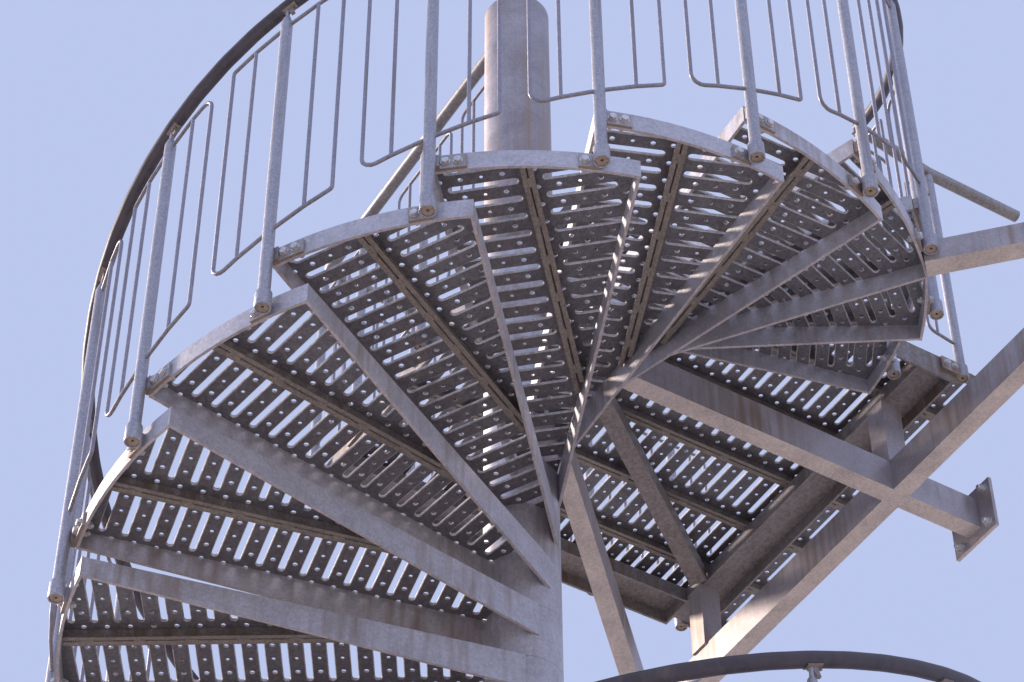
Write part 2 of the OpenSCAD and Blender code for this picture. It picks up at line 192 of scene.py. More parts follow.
def crystals_group():
    tree, given, wanted = new_tree(
        "Zinc crystals", "ShaderNodeTree",
        [("Size", FLOAT, 0.012), ("Blur", FLOAT, 0.6), ("Speckle", FLOAT, 0.5)], [("Tone", FLOAT)])
    place = on_piece(tree)
    wobble = add(tree, "ShaderNodeTexNoise", {"Vector": place, "Scale": WOBBLES, "Detail": 1.0})
    moved = add(tree, "ShaderNodeVectorMath", {0: wobble.outputs["Color"], "Scale": WOBBLE_REACH},
                operation="SCALE")
    where = add(tree, "ShaderNodeVectorMath", {0: place, 1: moved.outputs[0]}, operation="ADD")
    scale = math_node(tree, "DIVIDE", 1.0, given["Size"])
    cells = add(tree, "ShaderNodeTexVoronoi", {"Vector": where.outputs[0], "Scale": scale})
    tone = add(tree, "ShaderNodeSeparateColor", {"Color": cells.outputs["Color"]}).outputs["Red"]
    cloud = noise(tree, place, CLOUDS, 6.0, 0.65)
    mixed = add(tree, "ShaderNodeMix", {"Factor": given["Blur"], 2: tone, 3: cloud}).outputs[0]
    off_middle = math_node(tree, "SUBTRACT", noise(tree, place, DUST, 3.0, 0.7), 0.5)
    speckle = math_node(tree, "MULTIPLY", off_middle, given["Speckle"])
    tree.links.new(math_node(tree, "ADD", mixed, speckle), wanted["Tone"])
    return tree


def streaks_group():
    tree, given, wanted = new_tree(
        "Rain streaks", "ShaderNodeTree",
        [("Width", FLOAT, 0.02), ("Length", FLOAT, 0.4), ("Amount", FLOAT, 0.45)], [("Mask", FLOAT)])
    place = on_piece(tree)
    across = math_node(tree, "DIVIDE", 1.0, given["Width"])
    down = math_node(tree, "DIVIDE", 1.0, given["Length"])
    stretch = add(tree, "ShaderNodeCombineXYZ", {"X": across, "Y": across, "Z": down})
    where = add(tree, "ShaderNodeVectorMath", {0: place, 1: stretch.outputs[0]}, operation="MULTIPLY")
    streaks = noise(tree, where.outputs[0], 1.0, 4.0)
    both = math_node(tree, "MULTIPLY", streaks, noise(tree, place, PATCHES, 3.0))
    low = math_node(tree, "SUBTRACT", 0.45, math_node(tree, "MULTIPLY", given["Amount"], 0.4))
    high = math_node(tree, "ADD", low, STREAK_EDGE)
    tree.links.new(stretched(tree, both, low, high), wanted["Mask"])
    return tree


CRYSTALS, STREAKS = crystals_group(), streaks_group()
print("shader groups", [group.name for group in (CRYSTALS, STREAKS)])

# %% Shader groups: undersides and grit
UNDERSIDE_PATCHES, RUNS = 14.0, 25.0
FACING_DOWN = 0.9


# A mask of the faces that point down, made uneven by noise. The metals lay their grime colour on by it,
# and that colour is partly real dirt and partly painted shade.
def underside_group():
    tree, given, wanted = new_tree(
        "Underside", "ShaderNodeTree",
        [("Start", FLOAT, 0.2), ("Unevenness", FLOAT, 0.3)], [("Mask", FLOAT)])
    facing = add(tree, "ShaderNodeSeparateXYZ", {0: add(tree, "ShaderNodeNewGeometry").outputs["Normal"]})
    down = math_node(tree, "MULTIPLY", facing.outputs["Z"], -1.0)
    off_middle = math_node(tree, "SUBTRACT", noise(tree, on_piece(tree), UNDERSIDE_PATCHES, 5.0), 0.5)
    shifted = math_node(tree, "ADD", down, math_node(tree, "MULTIPLY", off_middle, given["Unevenness"]))
    tree.links.new(stretched(tree, shifted, given["Start"], FACING_DOWN), wanted["Mask"])
    return tree


def grit_group():
    tree, given, wanted = new_tree(
        "Grit", "ShaderNodeTree", [("Grain", FLOAT, 0.004), ("Depth", FLOAT, 1.0)], [("Height", FLOAT)])
    place = on_piece(tree)
    fine = noise(tree, place, math_node(tree, "DIVIDE", 1.0, given["Grain"]), 3.0, 0.6)
    both = math_node(tree, "ADD", math_node(tree, "MULTIPLY", fine, 0.5), noise(tree, place, RUNS, 2.0))
    tree.links.new(math_node(tree, "MULTIPLY", both, given["Depth"]), wanted["Height"])
    return tree


UNDERSIDE, GRIT = underside_group(), grit_group()
print("shader groups", [group.name for group in (UNDERSIDE, GRIT)])

# %% [markdown]
# ## Metals
# All the steel is zinc-coated, so one recipe serves: two zinc greys mixed by the crystals, a stain
# colour laid on by the streaks, and a grime colour on whatever faces down, which is partly real dirt
# and partly painted shade. A table of finishes holds what differs. The handrail is the one dark piece,
# with a plastic sleeve that is smooth and slightly glossy.

# %% The recipe for zinc
TONE_ENDS = (0.25, 0.75)
UNDERSIDE_TONES = (0.68, 1.25)
GRAIN = 4 * MM
GRAIN_DEEP = 0.6 * MM


def use(tree, group, **values):
    node = tree.nodes.new("ShaderNodeGroup")
    node.node_tree = group
    for key, value in values.items():
        node.inputs[key.replace("_", " ").capitalize()].default_value = value
    return node.outputs[0]


def blend_colours(tree, mask, first, second):
    made = add(tree, "ShaderNodeMix", data_type="RGBA")
    for socket, value in zip((made.inputs[0], made.inputs[6], made.inputs[7]), (mask, first, second)):
        if isinstance(value, bpy.types.NodeSocket):
            tree.links.new(value, socket)
        else:
            socket.default_value = value if isinstance(value, float) else (*value, 1.0)
    return made.outputs[2]


def shade_of(colour, amount):
    return tuple(channel * amount for channel in colour)


def zinc(name, light, dark, stain, grime_and_shade, crystal=0.012, blur=0.6, speckle=1.2, streak_wide=0.03,
         streak_long=0.5, stained=0.45, shade_and_dirt_from=0.3, rough=(0.36, 0.56), metallic=0.5, bump=0.35):
    material = bpy.data.materials.new(name)
    material.use_nodes = True
    tree = material.node_tree
    shader = tree.nodes["Principled BSDF"]
    tone = use(tree, CRYSTALS, size=crystal, blur=blur, speckle=speckle)
    spread = stretched(tree, tone, *TONE_ENDS)
    metal = blend_colours(tree, spread, dark, light)
    streaks = use(tree, STREAKS, width=streak_wide, length=streak_long, amount=stained)
    washed = blend_colours(tree, streaks, metal, stain)
    # Faces that point down take the grime colour, which is partly real dirt and partly painted shade.
    under = use(tree, UNDERSIDE, start=shade_and_dirt_from, unevenness=0.5)
    dirt_and_shade = blend_colours(tree, spread, *(shade_of(grime_and_shade, amount) for amount in UNDERSIDE_TONES))
    tree.links.new(blend_colours(tree, under, washed, dirt_and_shade), shader.inputs["Base Color"])
    tree.links.new(stretched(tree, tone, 0.0, 1.0, rough), shader.inputs["Roughness"])
    not_underside = math_node(tree, "SUBTRACT", 1.0, under)
    tree.links.new(math_node(tree, "MULTIPLY", not_underside, metallic), shader.inputs["Metallic"])
    height = {"Height": use(tree, GRIT, grain=GRAIN), "Strength": bump, "Distance": GRAIN_DEEP}
    tree.links.new(add(tree, "ShaderNodeBump", height).outputs[0], shader.inputs["Normal"])
    return material


print("recipe ready")

# %% Metal finishes: light and dark zinc, stain, and grime that is partly painted shade, then what differs
BAR_ZINC = zinc(
    "bar_zinc", (0.64, 0.64, 0.71), (0.44, 0.43, 0.48), (0.36, 0.30, 0.28), (0.40, 0.355, 0.37),
    crystal=0.008, blur=0.75, speckle=0.9, streak_long=0.25)
LUG_ZINC = zinc(
    "lug_zinc", (0.52, 0.50, 0.52), (0.34, 0.32, 0.33), (0.30, 0.22, 0.18), (0.22, 0.165, 0.13),
    crystal=0.006, blur=0.75, stained=0.6)
# The planks' near-black grime colour on their flat undersides is partly dirt and partly painted shade.
PLANK_ZINC = zinc(
    "plank_zinc", (0.60, 0.58, 0.60), (0.38, 0.36, 0.37), (0.22, 0.18, 0.16), (0.13, 0.121, 0.134),
    crystal=0.008, speckle=1.5, shade_and_dirt_from=0.72, rough=(0.32, 0.5), metallic=0.3, bump=0.6)
RIB_ZINC = zinc(
    "rib_zinc", (0.30, 0.27, 0.26), (0.16, 0.145, 0.145), (0.16, 0.12, 0.09), (0.21, 0.175, 0.15),
    crystal=0.006, speckle=1.4, metallic=0.25)
POST_ZINC = zinc(
    "post_zinc", (0.50, 0.51, 0.58), (0.34, 0.34, 0.40), (0.32, 0.29, 0.30), (0.32, 0.30, 0.32),
    crystal=0.005, blur=0.6, speckle=1.8, streak_wide=0.008, streak_long=0.2)
COLUMN_ZINC = zinc(
    "column_zinc", (0.52, 0.485, 0.525), (0.27, 0.255, 0.29), (0.38, 0.28, 0.23), (0.28, 0.26, 0.27),
    crystal=0.008, blur=0.9, speckle=0.9, streak_wide=0.03, streak_long=1.6, stained=0.6)
BEAM_ZINC = zinc(
    "beam_zinc", (0.53, 0.50, 0.54), (0.36, 0.33, 0.355), (0.31, 0.24, 0.20), (0.50, 0.43, 0.415),
    crystal=0.008, blur=0.85, speckle=0.9, stained=0.5)
FRAME_ZINC = zinc(
    "frame_zinc", (0.34, 0.32, 0.34), (0.19, 0.175, 0.18), (0.20, 0.15, 0.12), (0.215, 0.185, 0.18),
    crystal=0.01, speckle=0.8, stained=0.55, metallic=0.3)
RAIL_ZINC = zinc(
    "rail_zinc", (0.44, 0.43, 0.45), (0.30, 0.29, 0.31), (0.30, 0.25, 0.20), (0.22, 0.205, 0.21),
    crystal=0.006, streak_wide=0.01)
BOLT_ZINC = zinc(
    "bolt_zinc", (0.84, 0.84, 0.88), (0.56, 0.55, 0.58), (0.34, 0.27, 0.20), (0.40, 0.37, 0.36),
    crystal=0.003, rough=(0.22, 0.42), metallic=0.75)
ROD_ZINC = zinc(
    "rod_zinc", (0.38, 0.38, 0.46), (0.27, 0.26, 0.33), (0.26, 0.22, 0.21), (0.22, 0.20, 0.205),
    crystal=0.005, streak_wide=0.008)
BRACKET_ZINC = zinc(
    "bracket_zinc", (0.36, 0.32, 0.32), (0.20, 0.17, 0.165), (0.20, 0.13, 0.09), (0.24, 0.19, 0.17),
    crystal=0.004)
WELD_ZINC = zinc(
    "weld_zinc", (0.40, 0.36, 0.35), (0.24, 0.21, 0.20), (0.20, 0.14, 0.10), (0.23, 0.19, 0.165),
    crystal=0.004)
PLUG_RUST = zinc(
    "plug_rust", (0.42, 0.33, 0.27), (0.24, 0.18, 0.145), (0.16, 0.09, 0.06), (0.31, 0.24, 0.195),
    crystal=0.004, rough=(0.7, 0.9), metallic=0.0)
HANDRAIL_DARK = zinc(
    "handrail_dark", (0.085, 0.068, 0.080), (0.055, 0.044, 0.052), (0.14, 0.115, 0.11),
    (0.065, 0.053, 0.065), crystal=0.03, speckle=0.6, rough=(0.42, 0.58), metallic=0.0, stained=0.35)
print("finishes", [m.name for m in bpy.data.materials if m.use_nodes])

# %% Finish the CAD pieces that keep their shape
KEPT = {"treads": BAR_ZINC, "base_plate": BEAM_ZINC, "column": COLUMN_ZINC, "frame": FRAME_ZINC,
        "bearers": BEAM_ZINC, "wall_tie": BEAM_ZINC}


def finish_cad_nodes():
    count = 0
    for name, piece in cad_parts.items():
        for part, material in KEPT.items():
            if part in name:
                piece.data.materials.clear()
                piece.data.materials.append(material)
                count += 1
    return count


print(finish_cad_nodes(), "CAD pieces finished")

# %% [markdown]
# ## Making pieces
# A finished piece stands at the origin with its place in its mesh. Short makers build closed shapes in
# mesh code: a slab from an outline, a turned shape from a profile. The rest is left to geometry trees,
# which bend rods, set out copies and punch planks. Each tree is run once and its result kept as a plain
# mesh.

# %% Mesh makers


ALONG_X = Matrix(((0, 0, 1, 0), (1, 0, 0, 0), (0, 1, 0, 0), (0, 0, 0, 1)))
ALONG_Y = Matrix(((1, 0, 0, 0), (0, 0, -1, 0), (0, 1, 0, 0), (0, 0, 0, 1)))


def slab(bm, outline, low, high, place=Matrix()):
    """A closed prism on a flat outline. Its height runs along Z, or along X or Y when it is placed so."""
    bottom = [bm.verts.new(place @ Vector((x, y, low))) for x, y in outline]
    top = [bm.verts.new(place @ Vector((x, y, high))) for x, y in outline]
    bm.faces.new(bottom[::-1])
    bm.faces.new(top)
    for k, corner in enumerate(bottom):
        after = (k + 1) % len(outline)
        bm.faces.new((corner, bottom[after], top[after], top[k]))


def box(bm, low, high):
    (x0, y0, z0), (x1, y1, z1) = low, high
    slab(bm, ((x0, y0), (x1, y0), (x1, y1), (x0, y1)), z0, z1)


def turned(bm, profile, sides, centre=(0.0, 0.0, 0.0), loop=False):
    """A turned shape. The profile's points are (radius, height). A loop leaves a hole round the axis."""
    rings = []
    for radius, height in profile:
        count = 1 if radius == 0 else sides
        rings.append([bm.verts.new(Vector(centre) + on_ring(radius, 2 * math.pi * k / sides, height))
                      for k in range(count)])
    for low, high in zip(rings, rings[1:] + (rings[:1] if loop else [])):
        for k in range(sides):
            j = (k + 1) % sides
            corners = [low[k % len(low)], low[j % len(low)], high[j % len(high)], high[k % len(high)]]
            bm.faces.new(list(dict.fromkeys(corners)))


def new_mesh(name, build, *values, sharp=40):
    bm = bmesh.new()
    build(bm, *values)
    bmesh.ops.recalc_face_normals(bm, faces=bm.faces)
    mesh = bpy.data.meshes.new(name)
    bm.to_mesh(mesh)
    bm.free()
    mesh.shade_smooth()
    mesh.set_sharp_from_angle(angle=math.radians(sharp))
    return mesh


def path_mesh(name, paths):
    """Edges along each path. A path is (points, closed, how wide each point's bend is)."""
    points, edges, widths = [], [], []
    for path, closed, bends in paths:
        start = len(points)
        points += path
        widths += bends
        edges += [(start + k, start + k + 1) for k in range(len(path) - 1)]
        if closed:
            edges.append((start + len(path) - 1, start))
    mesh = bpy.data.meshes.new(name)
    mesh.from_pydata(points, edges, [])
    mesh.attributes.new("bend", "FLOAT", "POINT").data.foreach_set("value", widths)
    return mesh


def place_mesh(name, places):
    """Points that carry the turn of the copy set on each: a place is (point, (x, y, z) turns)."""
    mesh = bpy.data.meshes.new(name)
    mesh.from_pydata([point for point, turn in places], [], [])
    turns = mesh.attributes.new("turn", "FLOAT_VECTOR", "POINT")
    turns.data.foreach_set("vector", [angle for point, turn in places for angle in turn])
    return mesh


print("mesh makers ready")

# %% Running a geometry tree and keeping its mesh
made_pieces = {}


def made_like(word):
    """The triangles of each made piece with this word in its name."""
    return {name: count for name, count in made_pieces.items() if word in name}


def in_scene(name, mesh):
    piece = bpy.data.objects.new(name, mesh)
    bpy.context.scene.collection.objects.link(piece)
    return piece


def run_tree(tree, mesh, **values):
    """The mesh that the tree makes from this one, with its inputs set by their identifiers."""
    start = in_scene("start", mesh)
    change = start.modifiers.new("tree", "NODES")
    change.node_group = tree
    for item in tree.interface.items_tree:
        key = item.name.lower().replace(" ", "_")
        if item.in_out == "INPUT" and key in values:
            change[item.identifier] = values[key]
    graph = bpy.context.evaluated_depsgraph_get()
    made = bpy.data.meshes.new_from_object(start.evaluated_get(graph), depsgraph=graph)
    bpy.data.objects.remove(start)
    return made


def keep(name, mesh, replaced=(), material=None):
    """Names a finished piece, lets it ride on the stair and hides the CAD parts that it stands for."""
    mesh.name = name
    if material is not None:
        mesh.materials.clear()
        mesh.materials.append(material)
    piece = in_scene(name, mesh)
    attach(piece, "root")
    if replaced:
        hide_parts(*replaced)
    made_pieces[name] = sum(len(face.vertices) - 2 for face in mesh.polygons)
    return piece


def joined(name, meshes):
    bm = bmesh.new()
    for mesh in meshes:
        bm.from_mesh(mesh)
    made = bpy.data.meshes.new(name)
    bm.to_mesh(made)
    bm.free()
    return made


print("piece makers ready")

# %% [markdown]
# ## Geometry trees
# Three trees do the repeated work. "Set out copies" places one shape on many points, each with its own
# turn. "Bent rod" turns a path into a rod whose corners are bent to a radius, as a bending machine
# leaves them. "Punched plank" cuts rows of slots and holes from a flat blank and leaves their
# pressed-up collars. Its boolean nodes use the manifold solver, which is fast and gives closed meshes.

# %% Tree: set out copies


def finished_tree(tree, last, given, wanted):
    """Ends a tree: copies become real geometry and take the finish."""
    real = add(tree, "GeometryNodeRealizeInstances", {0: last.outputs[0]})
    finished = add(tree, "GeometryNodeSetMaterial", {0: real.outputs[0], "Material": given["Finish"]})
    tree.links.new(finished.outputs[0], wanted[0])
    return tree


def set_out_tree():
    tree, given, wanted = new_tree(
        "Set out copies", "GeometryNodeTree",
        [("Points", GEOMETRY, None), ("Shape", OBJECT, None), ("Finish", MATERIAL, None)],
        [("Geometry", GEOMETRY)])
    shape = add(tree, "GeometryNodeObjectInfo", {"Object": given["Shape"]}).outputs["Geometry"]
    turn = add(tree, "GeometryNodeInputNamedAttribute", {"Name": "turn"}, data_type="FLOAT_VECTOR")
    rotation = add(tree, "FunctionNodeEulerToRotation", {0: turn.outputs[0]})
    copies = add(tree, "GeometryNodeInstanceOnPoints",
                 {"Points": given["Points"], "Instance": shape, "Rotation": rotation.outputs[0]})
    return finished_tree(tree, copies, given, wanted)


SET_OUT = set_out_tree()


def set_out(name, shape_mesh, places, finish):
    shape = in_scene("shape", shape_mesh)
    made = run_tree(SET_OUT, place_mesh(name, places), shape=shape, finish=finish)
    bpy.data.objects.remove(shape)
    return made


def set_and_keep(name, shape_mesh, places, finish, stands_for=()):
    """A finished piece of many copies of one shape."""
    return keep(name, set_out(name, shape_mesh, places, finish), stands_for)


print(SET_OUT.name, "ready")

# %% Tree: bent rod


def bent_rod_tree():
    tree, given, wanted = new_tree(
        "Bent rod", "GeometryNodeTree",
        [("Path", GEOMETRY, None), ("Thickness", FLOAT, 0.011), ("Bend radius", FLOAT, 0.028),
         ("Bend steps", INT, 4), ("Sides", INT, 8), ("Finish", MATERIAL, None)],
        [("Geometry", GEOMETRY)])
    line = add(tree, "GeometryNodeMeshToCurve", {0: given["Path"]})
    width = add(tree, "GeometryNodeInputNamedAttribute", {"Name": "bend"}, data_type="FLOAT")
    radius = math_node(tree, "MULTIPLY", width.outputs[0], given["Bend radius"])
    bent = add(tree, "GeometryNodeFilletCurve",
               {"Curve": line.outputs[0], "Count": given["Bend steps"], "Radius": radius,
                "Limit Radius": True}, mode="POLY")
    half = math_node(tree, "MULTIPLY", given["Thickness"], 0.5)
    circle = add(tree, "GeometryNodeCurvePrimitiveCircle", {"Resolution": given["Sides"], "Radius": half})
    swept = add(tree, "GeometryNodeCurveToMesh",
                {"Curve": bent.outputs[0], "Profile Curve": circle.outputs[0], "Fill Caps": True})
    smooth = add(tree, "GeometryNodeSetShadeSmooth", {0: swept.outputs[0]})
    return finished_tree(tree, smooth, given, wanted)


BENT_ROD = bent_rod_tree()
print(BENT_ROD.name, "ready")

# %% Tree: punched plank
MERGED = 0.01 * MM


def punched_plank_tree():
    tree, given, wanted = new_tree(
        "Punched plank", "GeometryNodeTree",
        [("Blank", GEOMETRY, None), ("Punch", OBJECT, None), ("Collar", OBJECT, None),
         ("Sheet", FLOAT, 0.003), ("Collar height", FLOAT, 0.004), ("Rows", INT, 18),
         ("Row pitch", FLOAT, 0.0587), ("First row", FLOAT, 1.134), ("Planks", INT, 2),
         ("Plank pitch", FLOAT, 0.24), ("First plank", FLOAT, 0.107), ("Finish", MATERIAL, None)],
        [("Geometry", GEOMETRY)])

    def lifted(height, low):
        """The blank as a closed sheet of this height."""
        raised = add(tree, "GeometryNodeExtrudeMesh", {
            "Mesh": given["Blank"], "Offset": (0, 0, 1), "Offset Scale": height, "Individual": False})
        under = add(tree, "GeometryNodeFlipFaces", {0: given["Blank"]})
        both = add(tree, "GeometryNodeJoinGeometry")
        tree.links.new(raised.outputs[0], both.inputs[0])
        tree.links.new(under.outputs[0], both.inputs[0])
        closed = add(tree, "GeometryNodeMergeByDistance", {0: both.outputs[0], "Distance": MERGED})
        down = add(tree, "ShaderNodeCombineXYZ", {"Z": low}).outputs[0]
        return add(tree, "GeometryNodeTransform", {0: closed.outputs[0], "Translation": down}).outputs[0]

    def repeated(tool):
        """The tool at each row of each plank."""
        shape = add(tree, "GeometryNodeObjectInfo", {"Object": tool}).outputs["Geometry"]
        back = math_node(tree, "MULTIPLY", given["Row pitch"], -1.0)
        along_plank = ("X", given["Rows"], given["First row"], back)
        across_planks = ("Y", given["Planks"], given["First plank"], given["Plank pitch"])
        for axis, count, first, step in (along_plank, across_planks):
            points = add(tree, "GeometryNodeMeshLine", {
                "Count": count,
                "Start Location": add(tree, "ShaderNodeCombineXYZ", {axis: first}).outputs[0],
                "Offset": add(tree, "ShaderNodeCombineXYZ", {axis: step}).outputs[0]})
            copies = {"Points": points.outputs[0], "Instance": shape}
            shape = add(tree, "GeometryNodeInstanceOnPoints", copies).outputs[0]
        return add(tree, "GeometryNodeRealizeInstances", {0: shape}).outputs[0]

    def combined(operation, *meshes):
        node = add(tree, "GeometryNodeMeshBoolean", operation=operation, solver="MANIFOLD")
        target = node.inputs["Mesh 2"]
        if operation == "DIFFERENCE":
            tree.links.new(meshes[0], node.inputs["Mesh 1"])
            meshes = meshes[1:]
        for mesh in meshes:
            tree.links.new(mesh, target)
        return node.outputs[0]

    half = math_node(tree, "MULTIPLY", given["Sheet"], 0.5)
    whole_height = math_node(tree, "ADD", half, given["Collar height"])
    sheet = lifted(given["Sheet"], math_node(tree, "MULTIPLY", given["Sheet"], -1.0))
    room = lifted(whole_height, math_node(tree, "MULTIPLY", half, -1.0))
    collars = combined("INTERSECT", repeated(given["Collar"]), room)
    punched = combined("DIFFERENCE", combined("UNION", sheet, collars), repeated(given["Punch"]))
    return finished_tree(tree, punched.node, given, wanted)


PUNCHED_PLANK = punched_plank_tree()
print(PUNCHED_PLANK.name, "ready")

# %% [markdown]
# ## Floor planks
# The floor of a step is two planks whose long edges are folded down and back, with a narrow groove
# between them and short welds across it. A press punches each with rows of long slots and, between the
# slots, rows of five round holes, and turns their edges up for grip. One row's punch and collars are
# made here as meshes, because every row of every plank on the stair uses the same ones.

# %% The punch and its collars
SLOT_LONG = 178 * MM
SLOT_WIDE = 17 * MM
BIG_HOLE = 14.5 * MM
SMALL_HOLE = 10 * MM
HOLE_STEP = 53 * MM
ROLLED_EDGE = 2.2 * MM
FLARE = 2.4 * MM
FLARE_LOW = 3.2 * MM
FLARE_DEEP = 2.4 * MM
PUNCH_REACH = 20 * MM
ROUND_STEPS = 5


def slot_outline(long, wide):
    """A slot along Y with round ends."""
    reach = long / 2 - wide / 2
    points = []
    for side in (1, -1):
        for k in range(ROUND_STEPS + 1):
            turn = math.pi * k / ROUND_STEPS + (0 if side == 1 else math.pi)
            points.append((wide / 2 * math.cos(turn), side * reach + wide / 2 * math.sin(turn)))
    return points


def round_outline(x, y, across, sides=8):
    return [(x + across / 2 * math.cos(2 * math.pi * (k + 0.5) / sides),
             y + across / 2 * math.sin(2 * math.pi * (k + 0.5) / sides)) for k in range(sides)]


def lofted(bm, levels):
    """A closed shape through outlines, each given as (outline, height), from the lowest up."""
    rings = [[bm.verts.new((x, y, height)) for x, y in outline] for outline, height in levels]
    bm.faces.new(rings[0][::-1])
    bm.faces.new(rings[-1])
    for low, high in zip(rings, rings[1:]):
        for k in range(len(low)):
            after = (k + 1) % len(low)
            bm.faces.new((low[k], low[after], high[after], high[k]))


def punch_row(bm, row_pitch, grow, low, high):
    """One slot and the five holes beside it, made larger all round by grow. The punch flares below."""
    wide = grow if grow else FLARE
    levels = [(wide, low), (wide, -FLARE_LOW), (grow, FLARE_DEEP - FLARE_LOW), (grow, high)]
    if grow:
        levels = [levels[0], levels[-1]]
    lofted(bm, [(slot_outline(SLOT_LONG + 2 * more, SLOT_WIDE + 2 * more), height)
                for more, height in levels])
    for k in range(-2, 3):
        across = BIG_HOLE if k else SMALL_HOLE
        if k or not grow:
            slab(bm, round_outline(-row_pitch / 2, k * HOLE_STEP, across + 2 * grow), low, high)


def punched(blank, row_pitch, **values):
    punch = in_scene("punch", new_mesh("punch", punch_row, row_pitch, 0.0, -PUNCH_REACH, PUNCH_REACH))
    collar = in_scene("collar", new_mesh("collar", punch_row, row_pitch, ROLLED_EDGE, -PUNCH_REACH,
                                         PUNCH_REACH))
    made = run_tree(PUNCHED_PLANK, blank, punch=punch, collar=collar, row_pitch=row_pitch,
                    finish=PLANK_ZINC, **values)
    bpy.data.objects.remove(punch)
    bpy.data.objects.remove(collar)
    made.shade_smooth()
    made.set_sharp_from_angle(angle=math.radians(40))
    return made


print("punch ready")

# %% The two planks of a step
LOW_BAR = -6 * MM
GROOVE_LOW = 226 * MM
GROOVE_HIGH = 228 * MM
HIGH_BAR = HUB - BAR - 1 * MM
STEP_ROW = 58.6 * MM
FIRST_SLOT = 1134 * MM


def arc_point(radius, y):
    return (math.sqrt(radius * radius - y * y), y)


def on_high_bar(y):
    """The point on the upper bar's inner face at this distance from the lower post's radius."""
    along = (y - HIGH_BAR * math.cos(TURN)) / math.sin(TURN)
    return (along * math.cos(TURN) - HIGH_BAR * math.sin(TURN), y)


def step_blank(bm):
    """Both planks of one step as flat faces, with X along the radius of the lower post."""
    rim = STRING_IN
    hidden = HUB - 5 * MM
    first = [(hidden, LOW_BAR + BAR), arc_point(rim, LOW_BAR + BAR), arc_point(rim, 80 * MM),
             arc_point(rim, 150 * MM), arc_point(rim, GROOVE_LOW), on_high_bar(GROOVE_LOW),
             (0.05 * hidden, 0.99 * hidden), (0.7 * hidden, 0.7 * hidden)]
    end = math.asin(HIGH_BAR / rim) + TURN
    second = [on_high_bar(GROOVE_HIGH), arc_point(rim, GROOVE_HIGH), arc_point(rim, 300 * MM),
              arc_point(rim, 370 * MM), arc_point(rim, 430 * MM),
              (rim * math.cos(end), rim * math.sin(end))]
    for outline in (first, second):
        bm.faces.new([bm.verts.new((x, y, 0.0)) for x, y in outline])


BEAD = [(-16, -1.2), (-13, -2.6), (13, -2.6), (16, -1.2),
        (16, 1.2), (13, 2.6), (-13, 2.6), (-16, 1.2)]
BEAD_HEIGHTS = (-39.4 * MM, -36 * MM)
FOLD = [(0, -1.5), (0, -35), (1.8, -38.6), (5.6, -40), (15, -40), (15, -37.2), (6.4, -37.2), (3.8, -36),
        (3, -33.5), (3, -1.5)]


def folded_edge(bm, y, side, low, high):
    """A plank's edge folded down and back under it. The side says which way the fold turns in."""
    slab(bm, [(y + side * across * MM, height * MM) for across, height in FOLD], low, high, ALONG_X)


def stitch_weld(bm, x, y):
    """A short bead that joins two folded edges."""
    slab(bm, [(x + a * MM, y + b * MM) for a, b in BEAD], *BEAD_HEIGHTS)


def step_ribs(bm):
    """The folded edges of the two planks along the groove."""
    inner = on_high_bar(GROOVE_HIGH)[0]
    outer = arc_point(STRING_IN, GROOVE_HIGH + 15 * MM)[0]
    folded_edge(bm, GROOVE_LOW, -1, inner, outer)
    folded_edge(bm, GROOVE_HIGH, 1, inner + 40 * MM, outer)


def step_welds(bm):
    inner = on_high_bar(GROOVE_HIGH)[0]
    outer = arc_point(STRING_IN, GROOVE_HIGH)[0]
    for k in range(6):
        stitch_weld(bm, inner + (outer - inner) * (k + 0.7) / 6.2, (GROOVE_LOW + GROOVE_HIGH) / 2)


STEP_FLOOR = punched(new_mesh("step_blank", step_blank), STEP_ROW, rows=19, first_row=FIRST_SLOT,
                     planks=2, plank_pitch=GROOVE_HIGH + 12 * MM, first_plank=107 * MM)
print("one step's floor:", len(STEP_FLOOR.polygons), "faces")

# %% Floors of the three flights


def step_places(storey):
    return [(Vector((0, 0, level(storey, step))), (0.0, 0.0, post_turn(step) - TURN))
            for step in range(1, TREADS + 1)]


for storey in range(STOREYS):
    flight = f"flight_{storey + 1}"
    for label, shape, finish in (("punched_planks", STEP_FLOOR.copy(), PLANK_ZINC),
                                 ("plank_ribs", new_mesh("ribs", step_ribs), RIB_ZINC),
                                 ("stitch_welds", new_mesh("welds", step_welds), WELD_ZINC)):
        set_and_keep(f"{flight}_{label}", shape, step_places(storey), finish,
                     [f"{flight}_planks"])
print("flight floors:", made_pieces)

# %% Landing floors
PLANK_WIDE = 246 * MM
PLANK_PITCH = 248 * MM
RIGHT_EDGE = 208 * MM
LAST_PLANK = RIGHT_EDGE - 194 * MM
PLANK_END = WALL - 15 * MM
NEAR_EDGE = 9 * MM
HUB_GAP = 3 * MM
HUB_MEETS = -106 * MM
NOTCH = (50 * MM, 85 * MM)
GROOVE_MIDDLE = 1 * MM - LAST_PLANK
SLANT_EDGE = -44 * MM
LANDING_ROW = 63 * MM


def cut(outline, side, reach):
    """What is left of an outline on the near side of a line: side . point <= reach."""
    kept = []
    for k, a in enumerate(outline):
        b = outline[(k + 1) % len(outline)]
        gap_a = reach - (side[0] * a[0] + side[1] * a[1])
        gap_b = reach - (side[0] * b[0] + side[1] * b[1])
        if gap_a >= 0:
            kept.append(a)
        if gap_a * gap_b < 0:
            part = gap_a / (gap_a - gap_b)
            kept.append((a[0] + part * (b[0] - a[0]), a[1] + part * (b[1] - a[1])))
    return kept


def round_hub(x_from, x_to, steps=7):
    """Points around the hub's near side, between two lines that run towards the wall."""
    gap = HUB + HUB_GAP
    return [(x, math.sqrt(max(gap * gap - x * x, 0.0)))
            for x in (x_from + (x_to - x_from) * k / steps for k in range(steps + 1))]


